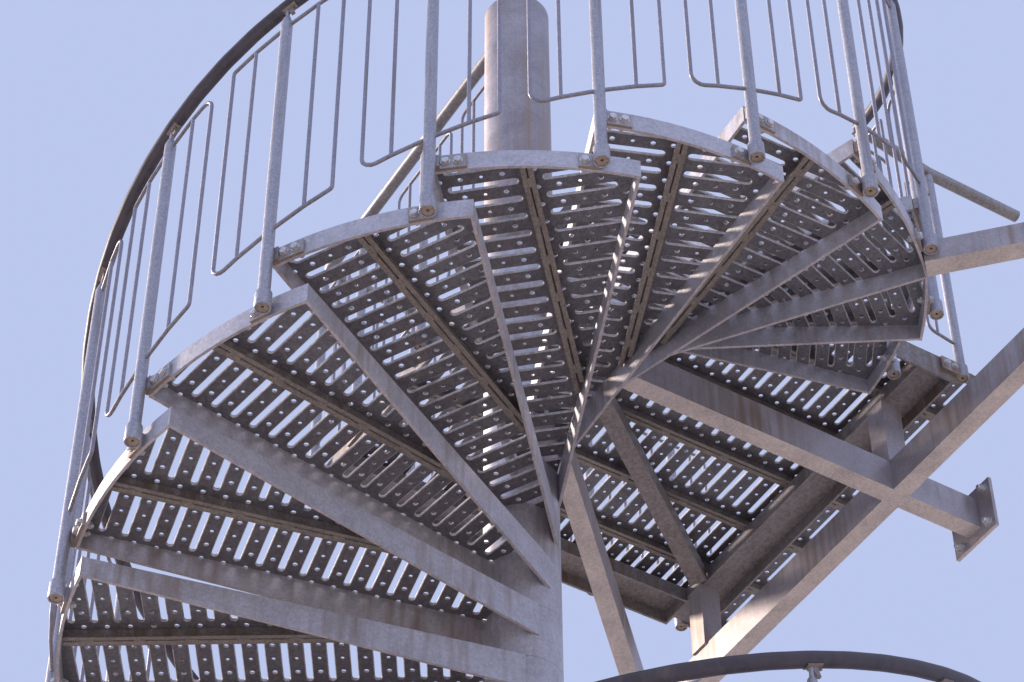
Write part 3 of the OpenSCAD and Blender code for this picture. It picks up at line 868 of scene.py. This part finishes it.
def landing_outline(index, whole):
    """One plank of a landing, seen from above, counted from the left."""
    left = LAST_PLANK - (5 - index) * PLANK_PITCH
    right = min(left + PLANK_WIDE, RIGHT_EDGE - 1 * MM)
    if index == 5:
        near = round_hub(left, NOTCH[0] - 2 * MM, 3) + [NOTCH, (right, NOTCH[1])]
    elif index == 4:
        near = [(left, NEAR_EDGE), (HUB_MEETS - 1.5 * MM, NEAR_EDGE)] + round_hub(HUB_MEETS, right)
    else:
        near = [(left, NEAR_EDGE), (right, NEAR_EDGE)]
    outline = near + [(right, PLANK_END), (left, PLANK_END)]
    if not whole:
        outline = cut(outline, (-math.sin(FIRST_TURN), math.cos(FIRST_TURN)), SLANT_EDGE)
    return outline


def landing_blank(bm, whole):
    """The planks with X towards the wall and Y to the left, as the punch expects."""
    for index in range(6):
        bm.faces.new([bm.verts.new((y, -x, 0.0)) for x, y in landing_outline(index, whole)])


def landing_ribs(bm, whole):
    """The folded long edges, with X towards the wall and Y to the left, from each plank's near end."""
    for index in range(6):
        outline = landing_outline(index, whole)
        for x, side in ((min(x for x, y in outline), -1), (max(x for x, y in outline), 1)):
            near = min(y for px, y in outline if abs(px - x) < 4 * MM)
            folded_edge(bm, -x, side, near + 20 * MM, PLANK_END)


def landing_welds(bm, whole):
    for index in range(1, 6):
        y = GROOVE_MIDDLE + (5 - index) * PLANK_PITCH
        for k in range(6 if index < 4 or whole else 8):
            stitch_weld(bm, PLANK_END - 120 * MM - 230 * MM * k, y)


def landing_floor(whole):
    return punched(new_mesh("landing_blank", landing_blank, whole), LANDING_ROW, rows=27, first_row=1.64,
                   planks=6, plank_pitch=PLANK_PITCH, first_plank=-(LAST_PLANK + PLANK_WIDE / 2))


for number in range(1, STOREYS + 1):
    whole = number == STOREYS
    place = [(Vector((0, 0, number * STOREY)), (0.0, 0.0, math.pi / 2))]
    for label, shape, finish in (("punched_planks", landing_floor(whole), PLANK_ZINC),
                                 ("plank_ribs", new_mesh("ribs", landing_ribs, whole), RIB_ZINC),
                                 ("stitch_welds", new_mesh("welds", landing_welds, whole), WELD_ZINC)):
        set_and_keep(f"landing_{number}_{label}", shape, place, finish,
                     [f"landing_{number}_planks"])
print("landing floors:", made_like("landing"))

# %% [markdown]
# ## Posts
# A post is a tube with a wider collar round its foot, and its head narrows to the thin stem under the
# rail. Each is turned on a profile, as on a lathe, and set out round the ring by the copying tree. The
# open foot is closed by a rusty plug with a hole through it. Both show well, because the stair is seen
# from below.

# %% Shapes of a post, its plug and its bracket
FOOT_DROP = STRING_HIGH + 2 * MM
POST_LONG = 1125 * MM
POST_SIDES = 20
POST_HALF = 16 * MM
STEM_LONG = 50 * MM
HANDRAIL_HALF = 19 * MM
RAIL_HALF = 21 * MM
RAIL_ABOVE_TOP = STEM_LONG + HANDRAIL_HALF - 1 * MM
GUARD_RAIL_ABOVE_TOP = STEM_LONG + RAIL_HALF - 1 * MM
HEAD = [(16, -10), (15.2, -7), (9.8, 13), (8.4, 15.5), (5.6, 16), (5.6, 46), (0, 46)]
CORNER_HEAD = [(16, 8), (15, 9), (15, 11), (16, 12), (16, 48), (0, 48)]
COLLAR = [(0, 50), (17.2, 50), (17.2, 0.6), (17.8, 0), (20.9, 0), (21.5, 0.8), (21.5, 49), (20.6, 52),
          (16.6, 59), (16, 62)]
GROUND_FLANGE = [(0, 0), (54, 0), (55, 1), (55, 7), (54, 8), (18, 8), (16, 11)]
RAIL_SCREW = [(0, -7.5), (2.4, -7.5), (4.2, -6), (4.2, -3), (2.5, -2.6), (2.5, 0.5), (0, 0.5)]
PLUG = [(4, 10), (4, 4), (4.6, 3.4), (15, 2.8), (15.6, 4.4), (17.1, 4.4), (17.1, 10)]


def in_mm(profile):
    return [(radius * MM, height * MM) for radius, height in profile]


def post_shape(bm, foot, top, head=HEAD):
    """A post from its foot's profile to its head, which narrows to a thin stem under the rail."""
    turned(bm, in_mm(foot) + [(radius, top + height) for radius, height in in_mm(head)], POST_SIDES)


def plug_shape(bm):
    turned(bm, in_mm(PLUG), 16, loop=True)


def bracket_shape(bm, half):
    """The saddle under a rail, its flared web and two screws, with the rail's middle at the origin."""
    arc = [math.radians(-124 + 8.5 * k) for k in range(9)]
    inner, outer = half + 0.1 * MM, half + 2.8 * MM
    saddle = [(outer * math.cos(a), outer * math.sin(a)) for a in arc]
    saddle += [(inner * math.cos(a), inner * math.sin(a)) for a in reversed(arc)]
    slab(bm, saddle, -21 * MM, 21 * MM, ALONG_X)
    under = -half / MM - 2
    web = [(-13, under), (-6.5, under - 10), (-5.5, under - 26),
           (5.5, under - 26), (6.5, under - 10), (13, under)]
    slab(bm, in_mm(web), -4.5 * MM, 4.5 * MM, ALONG_Y)
    for side in (-1, 1):
        turned(bm, in_mm(RAIL_SCREW), 10, (side * 17 * MM, 0, under * MM))


print("post, plug and bracket shapes ready")

# %% Shapes of a bolt and of the lugs
LUG = 8 * MM
LUG_LOW = 2 * MM
LUG_HIGH = 45 * MM
LUG_STEP = 1.5 * MM
LUG_FACE = STRING_OUT + 0.3 * MM
LOW_LUG = 53 * MM
HIGH_LUG = 88 * MM
LOW_BOLT = 38 * MM
HIGH_BOLTS = (36 * MM, 67 * MM)
CHAMFER = 1.2 * MM


def bolt_shape(bm, grip=16.3, loose_end=6.0):
    """A washer and a hexagon head on top, with a nut and the thread's end below the plates it holds."""
    washer = [(5, 0), (12.6, 0), (13, 0.4), (13, 2.3), (12.6, 2.7), (5, 2.7)]
    turned(bm, in_mm(washer), 14, loop=True)
    head = [(0, 2.5), (10, 2.5), (10.8, 3.2), (10.8, 9), (9.6, 10.4), (0, 10.8)]
    turned(bm, in_mm(head), 6)
    turned(bm, in_mm([(radius, -grip - height) for radius, height in reversed(washer)]), 14, loop=True)
    nut = [(0, -12.5), (8.8, -12.2), (10, -11), (10, -3.2), (9.2, -2.3), (0, -2.3)]
    turned(bm, in_mm([(radius, height - grip) for radius, height in nut]), 6)
    end = [(0, -12.4 - loose_end), (5.2, -12.4 - loose_end), (6, -11.6 - loose_end), (6, -12), (0, -12)]
    turned(bm, in_mm([(radius, height - grip) for radius, height in end]), 12)


def curved_plate(bm, first, last, low, high, steps=4):
    """A plate along the outer bar, between two distances from the post's middle."""
    turns = [(first + (last - first) * k / steps) / STRING_OUT for k in range(steps + 1)]
    ring = [(LUG_FACE * math.cos(a), LUG_FACE * math.sin(a)) for a in turns]
    ring += [((LUG_FACE + LUG) * math.cos(a), (LUG_FACE + LUG) * math.sin(a)) for a in reversed(turns)]
    slab(bm, ring, low, high)


def chamfered(bm, width=CHAMFER):
    """Takes the sharp edges off what is in the mesh so far."""
    sharp = [edge for edge in bm.edges if edge.is_manifold and edge.calc_face_angle() > math.radians(50)]
    bmesh.ops.bevel(bm, geom=sharp, offset=width, segments=1, affect="EDGES", clamp_overlap=True)


def lug_shape(bm, lower, upper):
    """The lugs of one post, with the column's axis at the origin and X through the post."""
    if lower:
        curved_plate(bm, -LOW_LUG, 0, LUG_LOW, LUG_LOW + LUG_HIGH)
    if upper:
        low = RISE + LUG_LOW
        curved_plate(bm, 0, HIGH_LUG, low, low + LUG_HIGH)
        box(bm, (LUG_FACE + LUG_STEP, -4 * MM, low + LUG_STEP),
            (LUG_FACE + 17 * MM, 22 * MM, low + LUG_HIGH - LUG_STEP))
    chamfered(bm)


def diagonal_lug_shape(bm):
    """The lug that holds a flight's first post to the slanting edge of the landing."""
    face = SLANT_EDGE + BAR
    box(bm, (RING - 21 * MM, face, LUG_LOW), (RING + HIGH_LUG, face + LUG, LUG_LOW + LUG_HIGH))
    box(bm, (RING - 11 * MM, face + LUG_STEP, LUG_LOW + LUG_STEP),
        (RING + 11 * MM, -10 * MM, LUG_LOW + LUG_HIGH - LUG_STEP))
    chamfered(bm)


print("bolt and lug shapes ready")

# %% Posts of the three flights
QUARTER = math.pi / 2
RAIL_SLOPE = math.atan2(RISE, RING * TURN)


def flight_posts(storey):
    return [(on_ring(RING, post_turn(step), level(storey, step) - FOOT_DROP), (0.0, 0.0, post_turn(step)))
            for step in range(TREADS + 1)]


def on_ground(storey, step):
    return storey == 0 and step == 0


for storey in range(STOREYS):
    flight = f"flight_{storey + 1}"
    places = flight_posts(storey)
    standing = [place for step, place in enumerate(places) if not on_ground(storey, step)]
    posts = [set_out("posts", new_mesh("post", post_shape, COLLAR, POST_LONG), standing, POST_ZINC)]
    if storey == 0:
        foot = (on_ring(RING, post_turn(0), 0.0), (0.0, 0.0, post_turn(0)))
        shape = new_mesh("ground_post", post_shape, GROUND_FLANGE, POST_LONG - FOOT_DROP)
        posts.append(set_out("posts", shape, [foot], POST_ZINC))
    keep(f"{flight}_turned_posts", joined("posts", posts), [f"{flight}_posts"], POST_ZINC)
    set_and_keep(f"{flight}_foot_plugs", new_mesh("plug", plug_shape), standing, PLUG_RUST,
                 [f"{flight}_posts"])
    up = Vector((0, 0, POST_LONG + RAIL_ABOVE_TOP))
    rail = [(foot + up, (0.0, -RAIL_SLOPE, turns[2] + QUARTER)) for foot, turns in places]
    set_and_keep(f"{flight}_rail_brackets", new_mesh("bracket", bracket_shape, HANDRAIL_HALF), rail,
                 BRACKET_ZINC, [f"{flight}_posts"])
print("post pieces:", made_like("post"))

# %% Lugs and bolts of the three flights


def lug_bolts(storey, step):
    """Where the bolts of one post go, with the turn that points each head away from the column."""
    foot = level(storey, step) - FOOT_DROP
    spots = [(-LOW_BOLT, LUG_LOW)] if step > 0 else []
    if step < TREADS:
        spots += [(along, RISE + LUG_LOW) for along in HIGH_BOLTS]
    turns = [(post_turn(step) + along / STRING_OUT, low) for along, low in spots]
    return [(on_ring(LUG_FACE + LUG, turn, foot + low + LUG_HIGH / 2), (0.0, QUARTER, turn))
            for turn, low in turns]


def diagonal_bolts(storey):
    turn, middle = post_turn(0), level(storey, 0) - FOOT_DROP + LUG_LOW + LUG_HIGH / 2
    aside = on_ring(1.0, turn + QUARTER, 0.0) * (SLANT_EDGE + BAR + LUG)
    return [(on_ring(RING + along, turn, middle) + aside, (-QUARTER, 0.0, turn)) for along in HIGH_BOLTS]


EDGE_BLOCK_LOW = Vector((RIGHT_EDGE + BAR + 0.5 * MM, 1169.4 * MM, -52 * MM))
EDGE_BLOCK_SIZE = Vector((23 * MM, 48 * MM, 44 * MM))


def edge_block(bm):
    """The block that joins the last post to the landing's right edge, with the floor at height zero."""
    box(bm, EDGE_BLOCK_LOW, EDGE_BLOCK_LOW + EDGE_BLOCK_SIZE)
    chamfered(bm)


for storey in range(STOREYS):
    flight = f"flight_{storey + 1}"
    places = [(Vector((0, 0, foot.z)), turns) for foot, turns in flight_posts(storey)]
    middle = new_mesh("lugs", lug_shape, True, True)
    lugs = [set_out("lugs", middle, places[1:-1], LUG_ZINC),
            set_out("lugs", new_mesh("first_lug", lug_shape, False, True), places[:1], LUG_ZINC),
            set_out("lugs", new_mesh("last_lug", lug_shape, True, False), places[-1:], LUG_ZINC),
            set_out("lugs", new_mesh("edge_block", edge_block),
                    [(Vector((0, 0, level(storey, TREADS + 1))), (0.0, 0.0, 0.0))], LUG_ZINC)]
    bolts = [place for step in range(TREADS + 1) for place in lug_bolts(storey, step)]
    if storey > 0:
        lugs.append(set_out("lugs", new_mesh("diagonal_lug", diagonal_lug_shape), places[:1], LUG_ZINC))
        bolts += diagonal_bolts(storey)
    keep(f"{flight}_lugs", joined("lugs", lugs), [f"{flight}_posts"], LUG_ZINC)
    set_and_keep(f"{flight}_bolts", new_mesh("bolt", bolt_shape), bolts, BOLT_ZINC,
                 [f"{flight}_posts"])
print("lugs and bolts:", made_like("lugs"), made_like("bolts"))

# %% [markdown]
# ## Bent rods
# Each post carries a frame of thin round rod: one rod bent into a loop, with two straight rods inside
# it. A rod bends to a small radius at a sharp corner and to a larger one at a blunt corner, so each
# path point says how wide its bend is. The frames lean with the flight, and those on a landing are
# level.

# %% Rods of the three flights
ROD = 11 * MM
ROD_LOW = 277 * MM
ROD_HIGH = 1100 * MM
FRAME_HALF = math.radians(8.2)
FRAME_MID = math.radians(4.6)
SHARP_BEND = 0.45


def ring_frame(storey, step):
    """The loop and the inner rods on one post of a flight."""
    foot = level(storey, step) - FOOT_DROP

    def spot(turn, height):
        return on_ring(RING, post_turn(step) + turn, foot + height + RISE * turn / TURN)

    turns = [0.0]
    if step > 0:
        turns = [-FRAME_HALF, -FRAME_MID] + turns
    if step < TREADS:
        turns = turns + [FRAME_MID, FRAME_HALF]
    points = [spot(turn, ROD_LOW) for turn in turns] + [spot(turn, ROD_HIGH) for turn in reversed(turns)]
    bends = [1.0] * len(points)
    if step < TREADS:
        bends[len(turns) - 1] = SHARP_BEND
    if step > 0:
        bends[-1] = SHARP_BEND
    whole = 0 < step < TREADS
    if step == 0:
        points, bends = points[::-1], bends[::-1]
    if step == TREADS:
        half = len(turns)
        points, bends = points[half:] + points[:half], bends[half:] + bends[:half]
    inner = [([spot(turn, ROD_LOW), spot(turn, ROD_HIGH)], False, [1.0, 1.0])
             for turn in turns if abs(turn) == FRAME_MID]
    return [(points, whole, bends)] + inner


def level_frame(post, ahead, back, front, mids, low, high):
    """A frame with level rods beside a post: back and front are how far it reaches each way."""
    post, ahead = Vector(post), Vector((math.cos(ahead), math.sin(ahead), 0))

    def spot(along, height):
        return post + ahead * along + Vector((0, 0, height))

    ends = [front, -back]
    points = [spot(ends[1], low), spot(ends[0], low), spot(ends[0], high), spot(ends[1], high)]
    inner = [([spot(mid, low), spot(mid, high)], False, [1.0, 1.0]) for mid in mids]
    return [(points, back > 0, [1.0] * 4)] + inner


def bent_rods(paths, finish, **values):
    return run_tree(BENT_ROD, path_mesh("path", paths), finish=finish, **values)


HALF_LONG, MID_LONG = 175 * MM, 100 * MM
HALF_SHORT, MID_SHORT = 150 * MM, 85 * MM
HALF_STRAIGHT = 125 * MM
SLANT_LOW, SLANT_HIGH = 112 * MM, 960 * MM
GUARD_LOW, GUARD_HIGH = 98 * MM, 826 * MM
CORNER = Vector((215 * MM, 1515 * MM, 0))


def from_last_post(storey):
    """The straight half frame from a flight's last post towards the corner of the landing."""
    foot = on_ring(RING, post_turn(TREADS), level(storey, TREADS) - FOOT_DROP)
    gap = CORNER - foot
    return level_frame(foot, math.atan2(gap.y, gap.x), 0, HALF_STRAIGHT, [MID_SHORT], ROD_LOW, ROD_HIGH)


def from_first_post(storey):
    """The straight half frame from a flight's first post along the slanting edge of the landing."""
    foot = on_ring(RING, post_turn(0), level(storey, 0))
    return level_frame(foot, post_turn(0), 0, HALF_LONG, [MID_LONG], SLANT_LOW, SLANT_HIGH)


for storey in range(STOREYS):
    flight = f"flight_{storey + 1}"
    paths = [path for step in range(TREADS + 1) for path in ring_frame(storey, step)]
    paths += from_last_post(storey)
    if storey > 0:
        paths += from_first_post(storey)
    keep(f"{flight}_bent_rods", bent_rods(paths, ROD_ZINC, thickness=ROD), [f"{flight}_posts"])
print("rods:", made_like("rods"))

# %% [markdown]
# ## Rails
# The handrail is one tube rolled to the helix of the posts, in a dark sleeve. On the landings the rails
# are plain zinc tube, bent at the corners. All are paths run through the same rod tree with more sides.

# %% Handrails of the three flights
HANDRAIL_STEP = math.radians(5)


def handrail_path(storey):
    count = round(TREADS * TURN / HANDRAIL_STEP)
    low = level(storey, 0) - FOOT_DROP + POST_LONG + RAIL_ABOVE_TOP
    points = [on_ring(RING, FIRST_TURN + HANDRAIL_STEP * k, low + RISE * HANDRAIL_STEP * k / TURN)
              for k in range(count + 1)]
    return points, False, [1.0] * len(points)


for storey in range(STOREYS):
    flight = f"flight_{storey + 1}"
    rail = bent_rods([handrail_path(storey)], HANDRAIL_DARK, thickness=2 * HANDRAIL_HALF, bend_radius=0.3,
                     bend_steps=1, sides=24)
    keep(f"{flight}_rolled_handrail", rail, [f"{flight}_handrail"])
print("handrails:", made_like("handrail"))

# %% Guards of the landings
GUARD_FOOT = 56 * MM
GUARD_RAIL = 950 * MM
GUARD_TOP = GUARD_FOOT + GUARD_RAIL - GUARD_RAIL_ABOVE_TOP
POST_LINE = -1250 * MM
NEAR_LINE = -30 * MM
SLANT_MEETS = POST_LINE * math.tan(FIRST_TURN)
LEFT_PITCH = 362 * MM
NEAR_POSTS = (-124.5 * MM, -545.5 * MM, -966.5 * MM)
TOP_RAIL_END = 1900 * MM
RAIL_KNEE = 45 * MM


def left_posts(whole):
    if whole:
        return [Vector((POST_LINE, NEAR_LINE + LEFT_PITCH * k, 0)) for k in range(5)]
    return [Vector((POST_LINE, SLANT_MEETS, 0)), Vector((POST_LINE, CORNER.y, 0))]


def guard_rods(whole):
    """The frames of a landing's guards, seen with the floor at height zero."""
    paths = []
    for k, post in enumerate(left_posts(whole)):
        back = HALF_SHORT if k else 0
        mids = [MID_SHORT, -MID_SHORT] if k else [MID_SHORT]
        paths += level_frame(post, math.pi / 2, back, HALF_SHORT, mids, GUARD_LOW, GUARD_HIGH)
    if whole:
        for x in NEAR_POSTS:
            both = x < -0.5
            paths += level_frame((x, NEAR_LINE, 0), math.pi, HALF_LONG if both else 0, HALF_LONG,
                                 [MID_LONG, -MID_LONG] if both else [MID_LONG], GUARD_LOW, GUARD_HIGH)
        paths += level_frame((POST_LINE, NEAR_LINE, 0), 0.0, 0, HALF_LONG, [MID_LONG],
                             GUARD_LOW, GUARD_HIGH)
    else:
        paths += level_frame(left_posts(False)[0], FIRST_TURN - math.pi, 0, HALF_LONG, [MID_LONG],
                             SLANT_LOW, 840 * MM)
    gap = on_ring(RING, post_turn(TREADS), 0.0) - CORNER
    paths += level_frame(CORNER, math.atan2(gap.y, gap.x), 0, HALF_STRAIGHT, [MID_SHORT],
                         GUARD_LOW, GUARD_HIGH)
    return paths


def guard_rails(whole):
    end = TOP_RAIL_END if whole else WALL
    top = Vector((0, 0, GUARD_RAIL))
    last = on_ring(RING, post_turn(TREADS), POST_LONG + RAIL_ABOVE_TOP - FOOT_DROP - RISE)
    right = [last, CORNER + top, Vector((CORNER.x, end, GUARD_RAIL))]
    if whole:
        left = [Vector((1 * MM - HUB, NEAR_LINE, GUARD_RAIL)), Vector((POST_LINE, NEAR_LINE, GUARD_RAIL)),
                Vector((POST_LINE, end, GUARD_RAIL))]
    else:
        left = [on_ring(RING, FIRST_TURN, POST_LONG + RAIL_ABOVE_TOP - FOOT_DROP),
                Vector((POST_LINE, SLANT_MEETS, GUARD_RAIL)), Vector((POST_LINE, end, GUARD_RAIL))]
    return [(right, False, [1.0] * 3), (left, False, [1.0] * 3)]


def lifted(places, height):
    return [(point + Vector((0, 0, height)), turns) for point, turns in places]


def raised(paths, height):
    return [([point + Vector((0, 0, height)) for point in points], closed, bends)
            for points, closed, bends in paths]


print("guard paths ready")

# %% Posts, rods, rails, lugs and bolts of the landings
GUARD_LUG = 10 * MM
GUARD_GRIP = 18.3


def guard_lugs(bm, whole):
    def plate(x, y, long_x, long_y):
        box(bm, (min(x, x + long_x), min(y, y + long_y), -GUARD_FOOT),
            (max(x, x + long_x), max(y, y + long_y), -2 * MM))

    for k, post in enumerate(left_posts(whole)):
        plate(POST_LINE + 14 * MM, post.y, GUARD_LUG, HIGH_LUG if k or whole else 60 * MM)
    plate(CORNER.x + 1 * MM + GUARD_LUG, CORNER.y - 15 * MM, -GUARD_LUG, -70 * MM)
    if whole:
        for x in NEAR_POSTS:
            plate(x, NEAR_LINE + POST_HALF + 4 * MM, -HIGH_LUG, GUARD_LUG)
    chamfered(bm)


def guard_bolts(whole):
    middle = -GUARD_FOOT + 27 * MM
    spots = [(Vector((POST_LINE + 14 * MM, post.y + along, middle)), (0.0, -QUARTER, 0.0))
             for k, post in enumerate(left_posts(whole)) for along in HIGH_BOLTS
             if k or whole or along < 50 * MM]
    spots += [(Vector((CORNER.x + 1 * MM + GUARD_LUG, CORNER.y - along, middle)), (0.0, QUARTER, 0.0))
              for along in HIGH_BOLTS]
    if whole:
        spots += [(Vector((x - along, NEAR_LINE + POST_HALF + 4 * MM, middle)), (QUARTER, 0.0, 0.0))
                  for x in NEAR_POSTS for along in HIGH_BOLTS]
    return spots


for number in range(1, STOREYS + 1):
    whole = number == STOREYS
    landing, height = f"landing_{number}", number * STOREY
    stands_for = [f"{landing}_right_guard", f"{landing}_left_guard"]
    if whole:
        stands_for.append(f"{landing}_end_guard")
    stand = [(post, (0.0, 0.0, QUARTER)) for post in left_posts(whole)]
    if whole:
        stand += [(Vector((x, NEAR_LINE, 0)), (0.0, 0.0, 0.0)) for x in NEAR_POSTS]
    slim = lifted(stand, height - GUARD_FOOT)
    corner = [(CORNER + Vector((0, 0, height - GUARD_FOOT)), (0.0, 0.0, QUARTER))]
    posts = [set_out("posts", new_mesh("post", post_shape, COLLAR, GUARD_TOP), slim, POST_ZINC),
             set_out("posts", new_mesh("post", post_shape, COLLAR, GUARD_TOP, CORNER_HEAD), corner,
                     POST_ZINC)]
    keep(f"{landing}_guard_posts", joined("posts", posts), stands_for, POST_ZINC)
    set_and_keep(f"{landing}_guard_plugs", new_mesh("plug", plug_shape), slim + corner, PLUG_RUST,
                 stands_for)
    set_and_keep(f"{landing}_guard_brackets", new_mesh("bracket", bracket_shape, RAIL_HALF),
                 lifted(stand, height + GUARD_RAIL), BRACKET_ZINC, stands_for)
    keep(f"{landing}_guard_rods", bent_rods(raised(guard_rods(whole), height), ROD_ZINC, thickness=ROD),
         stands_for)
    rails = bent_rods(raised(guard_rails(whole), height), RAIL_ZINC, thickness=2 * RAIL_HALF,
                      bend_radius=RAIL_KNEE, bend_steps=6, sides=24)
    keep(f"{landing}_guard_rails", rails, stands_for)
    set_and_keep(f"{landing}_guard_lugs", new_mesh("lugs", guard_lugs, whole),
                 [(Vector((0, 0, height)), (0.0, 0.0, 0.0))], LUG_ZINC, stands_for)
    set_and_keep(f"{landing}_guard_bolts", new_mesh("bolt", bolt_shape, GUARD_GRIP),
                 lifted(guard_bolts(whole), height), BOLT_ZINC, stands_for)
print("guards:", made_like("guard"))

# %% [markdown]
# ## Anchors
# The column's plate is held to its foundation by four threaded anchors, and each wall plate to the wall
# by four smaller ones. What shows of an anchor is a washer, a nut and the thread's end, so one turned
# shape is made in two sizes and set on the holes that the CAD plates have.

# %% Anchors of the base plate and of the wall plates
BASE_THREAD, WALL_THREAD = 10 * MM, 8 * MM
BASE_THICK = 20 * MM
BASE_PITCH = 480 * MM
PLATE_THICK = 12 * MM
PLATE_PITCH = 140 * MM
BEARER_MIDDLE = -416 * MM
BEARER_ENDS = (-1390 * MM, 0.0, 1100 * MM)
TIE_STEP = 13
TIE_MIDDLE = -40 * MM
TIE_START = (908 * MM, 772 * MM)
TIE_TURN = math.radians(44)
TIE_END = TIE_START[0] + (WALL - TIE_START[1] - PLATE_THICK) / math.tan(TIE_TURN)


def anchor_shape(bm, thread):
    """A washer, a nut and the end of a thread of this radius, standing up from the plate."""
    washer = [(1.02, 0), (2.15, 0), (2.2, 0.05), (2.2, 0.28), (2.15, 0.33), (1.02, 0.33)]
    nut = [(0, 0.3), (1.6, 0.3), (1.75, 0.45), (1.75, 1.8), (1.6, 1.95), (0, 2)]
    end = [(0, 1.9), (1, 1.9), (1, 2.9), (0.88, 3.05), (0, 3.05)]
    for profile, sides, loop in ((washer, 20, True), (nut, 6, False), (end, 16, False)):
        turned(bm, [(radius * thread, height * thread) for radius, height in profile], sides, loop=loop)


def plate_anchors(x, height):
    face, half = WALL - PLATE_THICK, PLATE_PITCH / 2
    return [(Vector((x + across * half, face, height + up * half)), (QUARTER, 0.0, 0.0))
            for across in (-1, 1) for up in (-1, 1)]


half = BASE_PITCH / 2
corners = [(Vector((x, y, BASE_THICK)), (0.0, 0.0, x * y)) for x in (-half, half) for y in (-half, half)]
set_and_keep("base_anchors", new_mesh("anchor", anchor_shape, BASE_THREAD), corners, BOLT_ZINC)
for number in range(1, STOREYS + 1):
    places = [place for x in BEARER_ENDS for place in plate_anchors(x, number * STOREY + BEARER_MIDDLE)]
    places += plate_anchors(TIE_END, level(number - 1, TIE_STEP) + TIE_MIDDLE)
    set_and_keep(f"landing_{number}_wall_anchors", new_mesh("anchor", anchor_shape, WALL_THREAD), places,
                 BOLT_ZINC)
print("triangles of the made pieces:", sum(made_pieces.values()))

# %% [markdown]
# ## Light, backdrop and floor
# A low warm lamp from the left picks out the left edges of tubes and bars, and a pale sky fills the
# rest. The lower half of the surroundings is a little warmer, as pale ground would throw the light back
# up. The backdrop is seen by the camera and in the metal only, so that it never adds light to the
# object.

# %% Light, backdrop and floor
SKY_LIGHT = (0.46, 0.54, 0.78)
GROUND_LIGHT = (0.66, 0.56, 0.51)
BACKDROP = (0.50, 0.575, 0.85)
HORIZON_BLUR = 0.2
KEY_FROM = (math.radians(213), math.radians(27))
KEY_STRENGTH = 4.8
KEY_WIDTH = math.radians(7)
KEY_COLOUR = (1.0, 0.83, 0.68)
FLOOR_RADIUS = 9.0
FLOOR_COLOUR = (0.72, 0.69, 0.66, 1.0)


def studio_world():
    world = bpy.data.worlds.new("studio")
    world.use_nodes = True
    tree = world.node_tree
    facing = add(tree, "ShaderNodeSeparateXYZ", {0: add(tree, "ShaderNodeTexCoord").outputs["Generated"]})
    above = stretched(tree, facing.outputs["Z"], -HORIZON_BLUR, HORIZON_BLUR)
    colour = blend_colours(tree, above, GROUND_LIGHT, SKY_LIGHT)
    fill = add(tree, "ShaderNodeBackground", {"Color": colour, "Strength": 1.0})
    seen = add(tree, "ShaderNodeBackground", {"Color": (*BACKDROP, 1.0), "Strength": 1.0})
    ray = add(tree, "ShaderNodeLightPath").outputs
    mirror = math_node(tree, "MAXIMUM", ray["Is Glossy Ray"], ray["Is Transmission Ray"])
    shown = math_node(tree, "MAXIMUM", ray["Is Camera Ray"], mirror)
    both = add(tree, "ShaderNodeMixShader", {0: shown, 1: fill.outputs[0], 2: seen.outputs[0]})
    tree.links.new(both.outputs[0], tree.nodes["World Output"].inputs["Surface"])
    return world


def key_lamp():
    data = bpy.data.lights.new("key", "SUN")
    data.energy = KEY_STRENGTH
    data.angle = KEY_WIDTH
    data.color = KEY_COLOUR
    lamp = in_scene("key", data)
    turn, height = KEY_FROM
    travel = -on_ring(math.cos(height), turn, math.sin(height))
    lamp.rotation_euler = travel.to_track_quat("-Z", "Y").to_euler()
    return lamp


def pale_floor():
    plain = bpy.data.materials.new("pale_floor")
    plain.use_nodes = True
    shader = plain.node_tree.nodes["Principled BSDF"]
    shader.inputs["Base Color"].default_value = FLOOR_COLOUR
    shader.inputs["Roughness"].default_value = 0.9
    profile = [(0, -0.02), (FLOOR_RADIUS, -0.02), (FLOOR_RADIUS, -0.001), (0, -0.001)]
    floor = in_scene("floor", new_mesh("floor", turned, profile, 64))
    floor.data.materials.append(plain)
    return floor


bpy.context.scene.view_settings.view_transform = "Standard"
bpy.context.scene.world = studio_world()
print("lit by", key_lamp().name, "on", pale_floor().name)
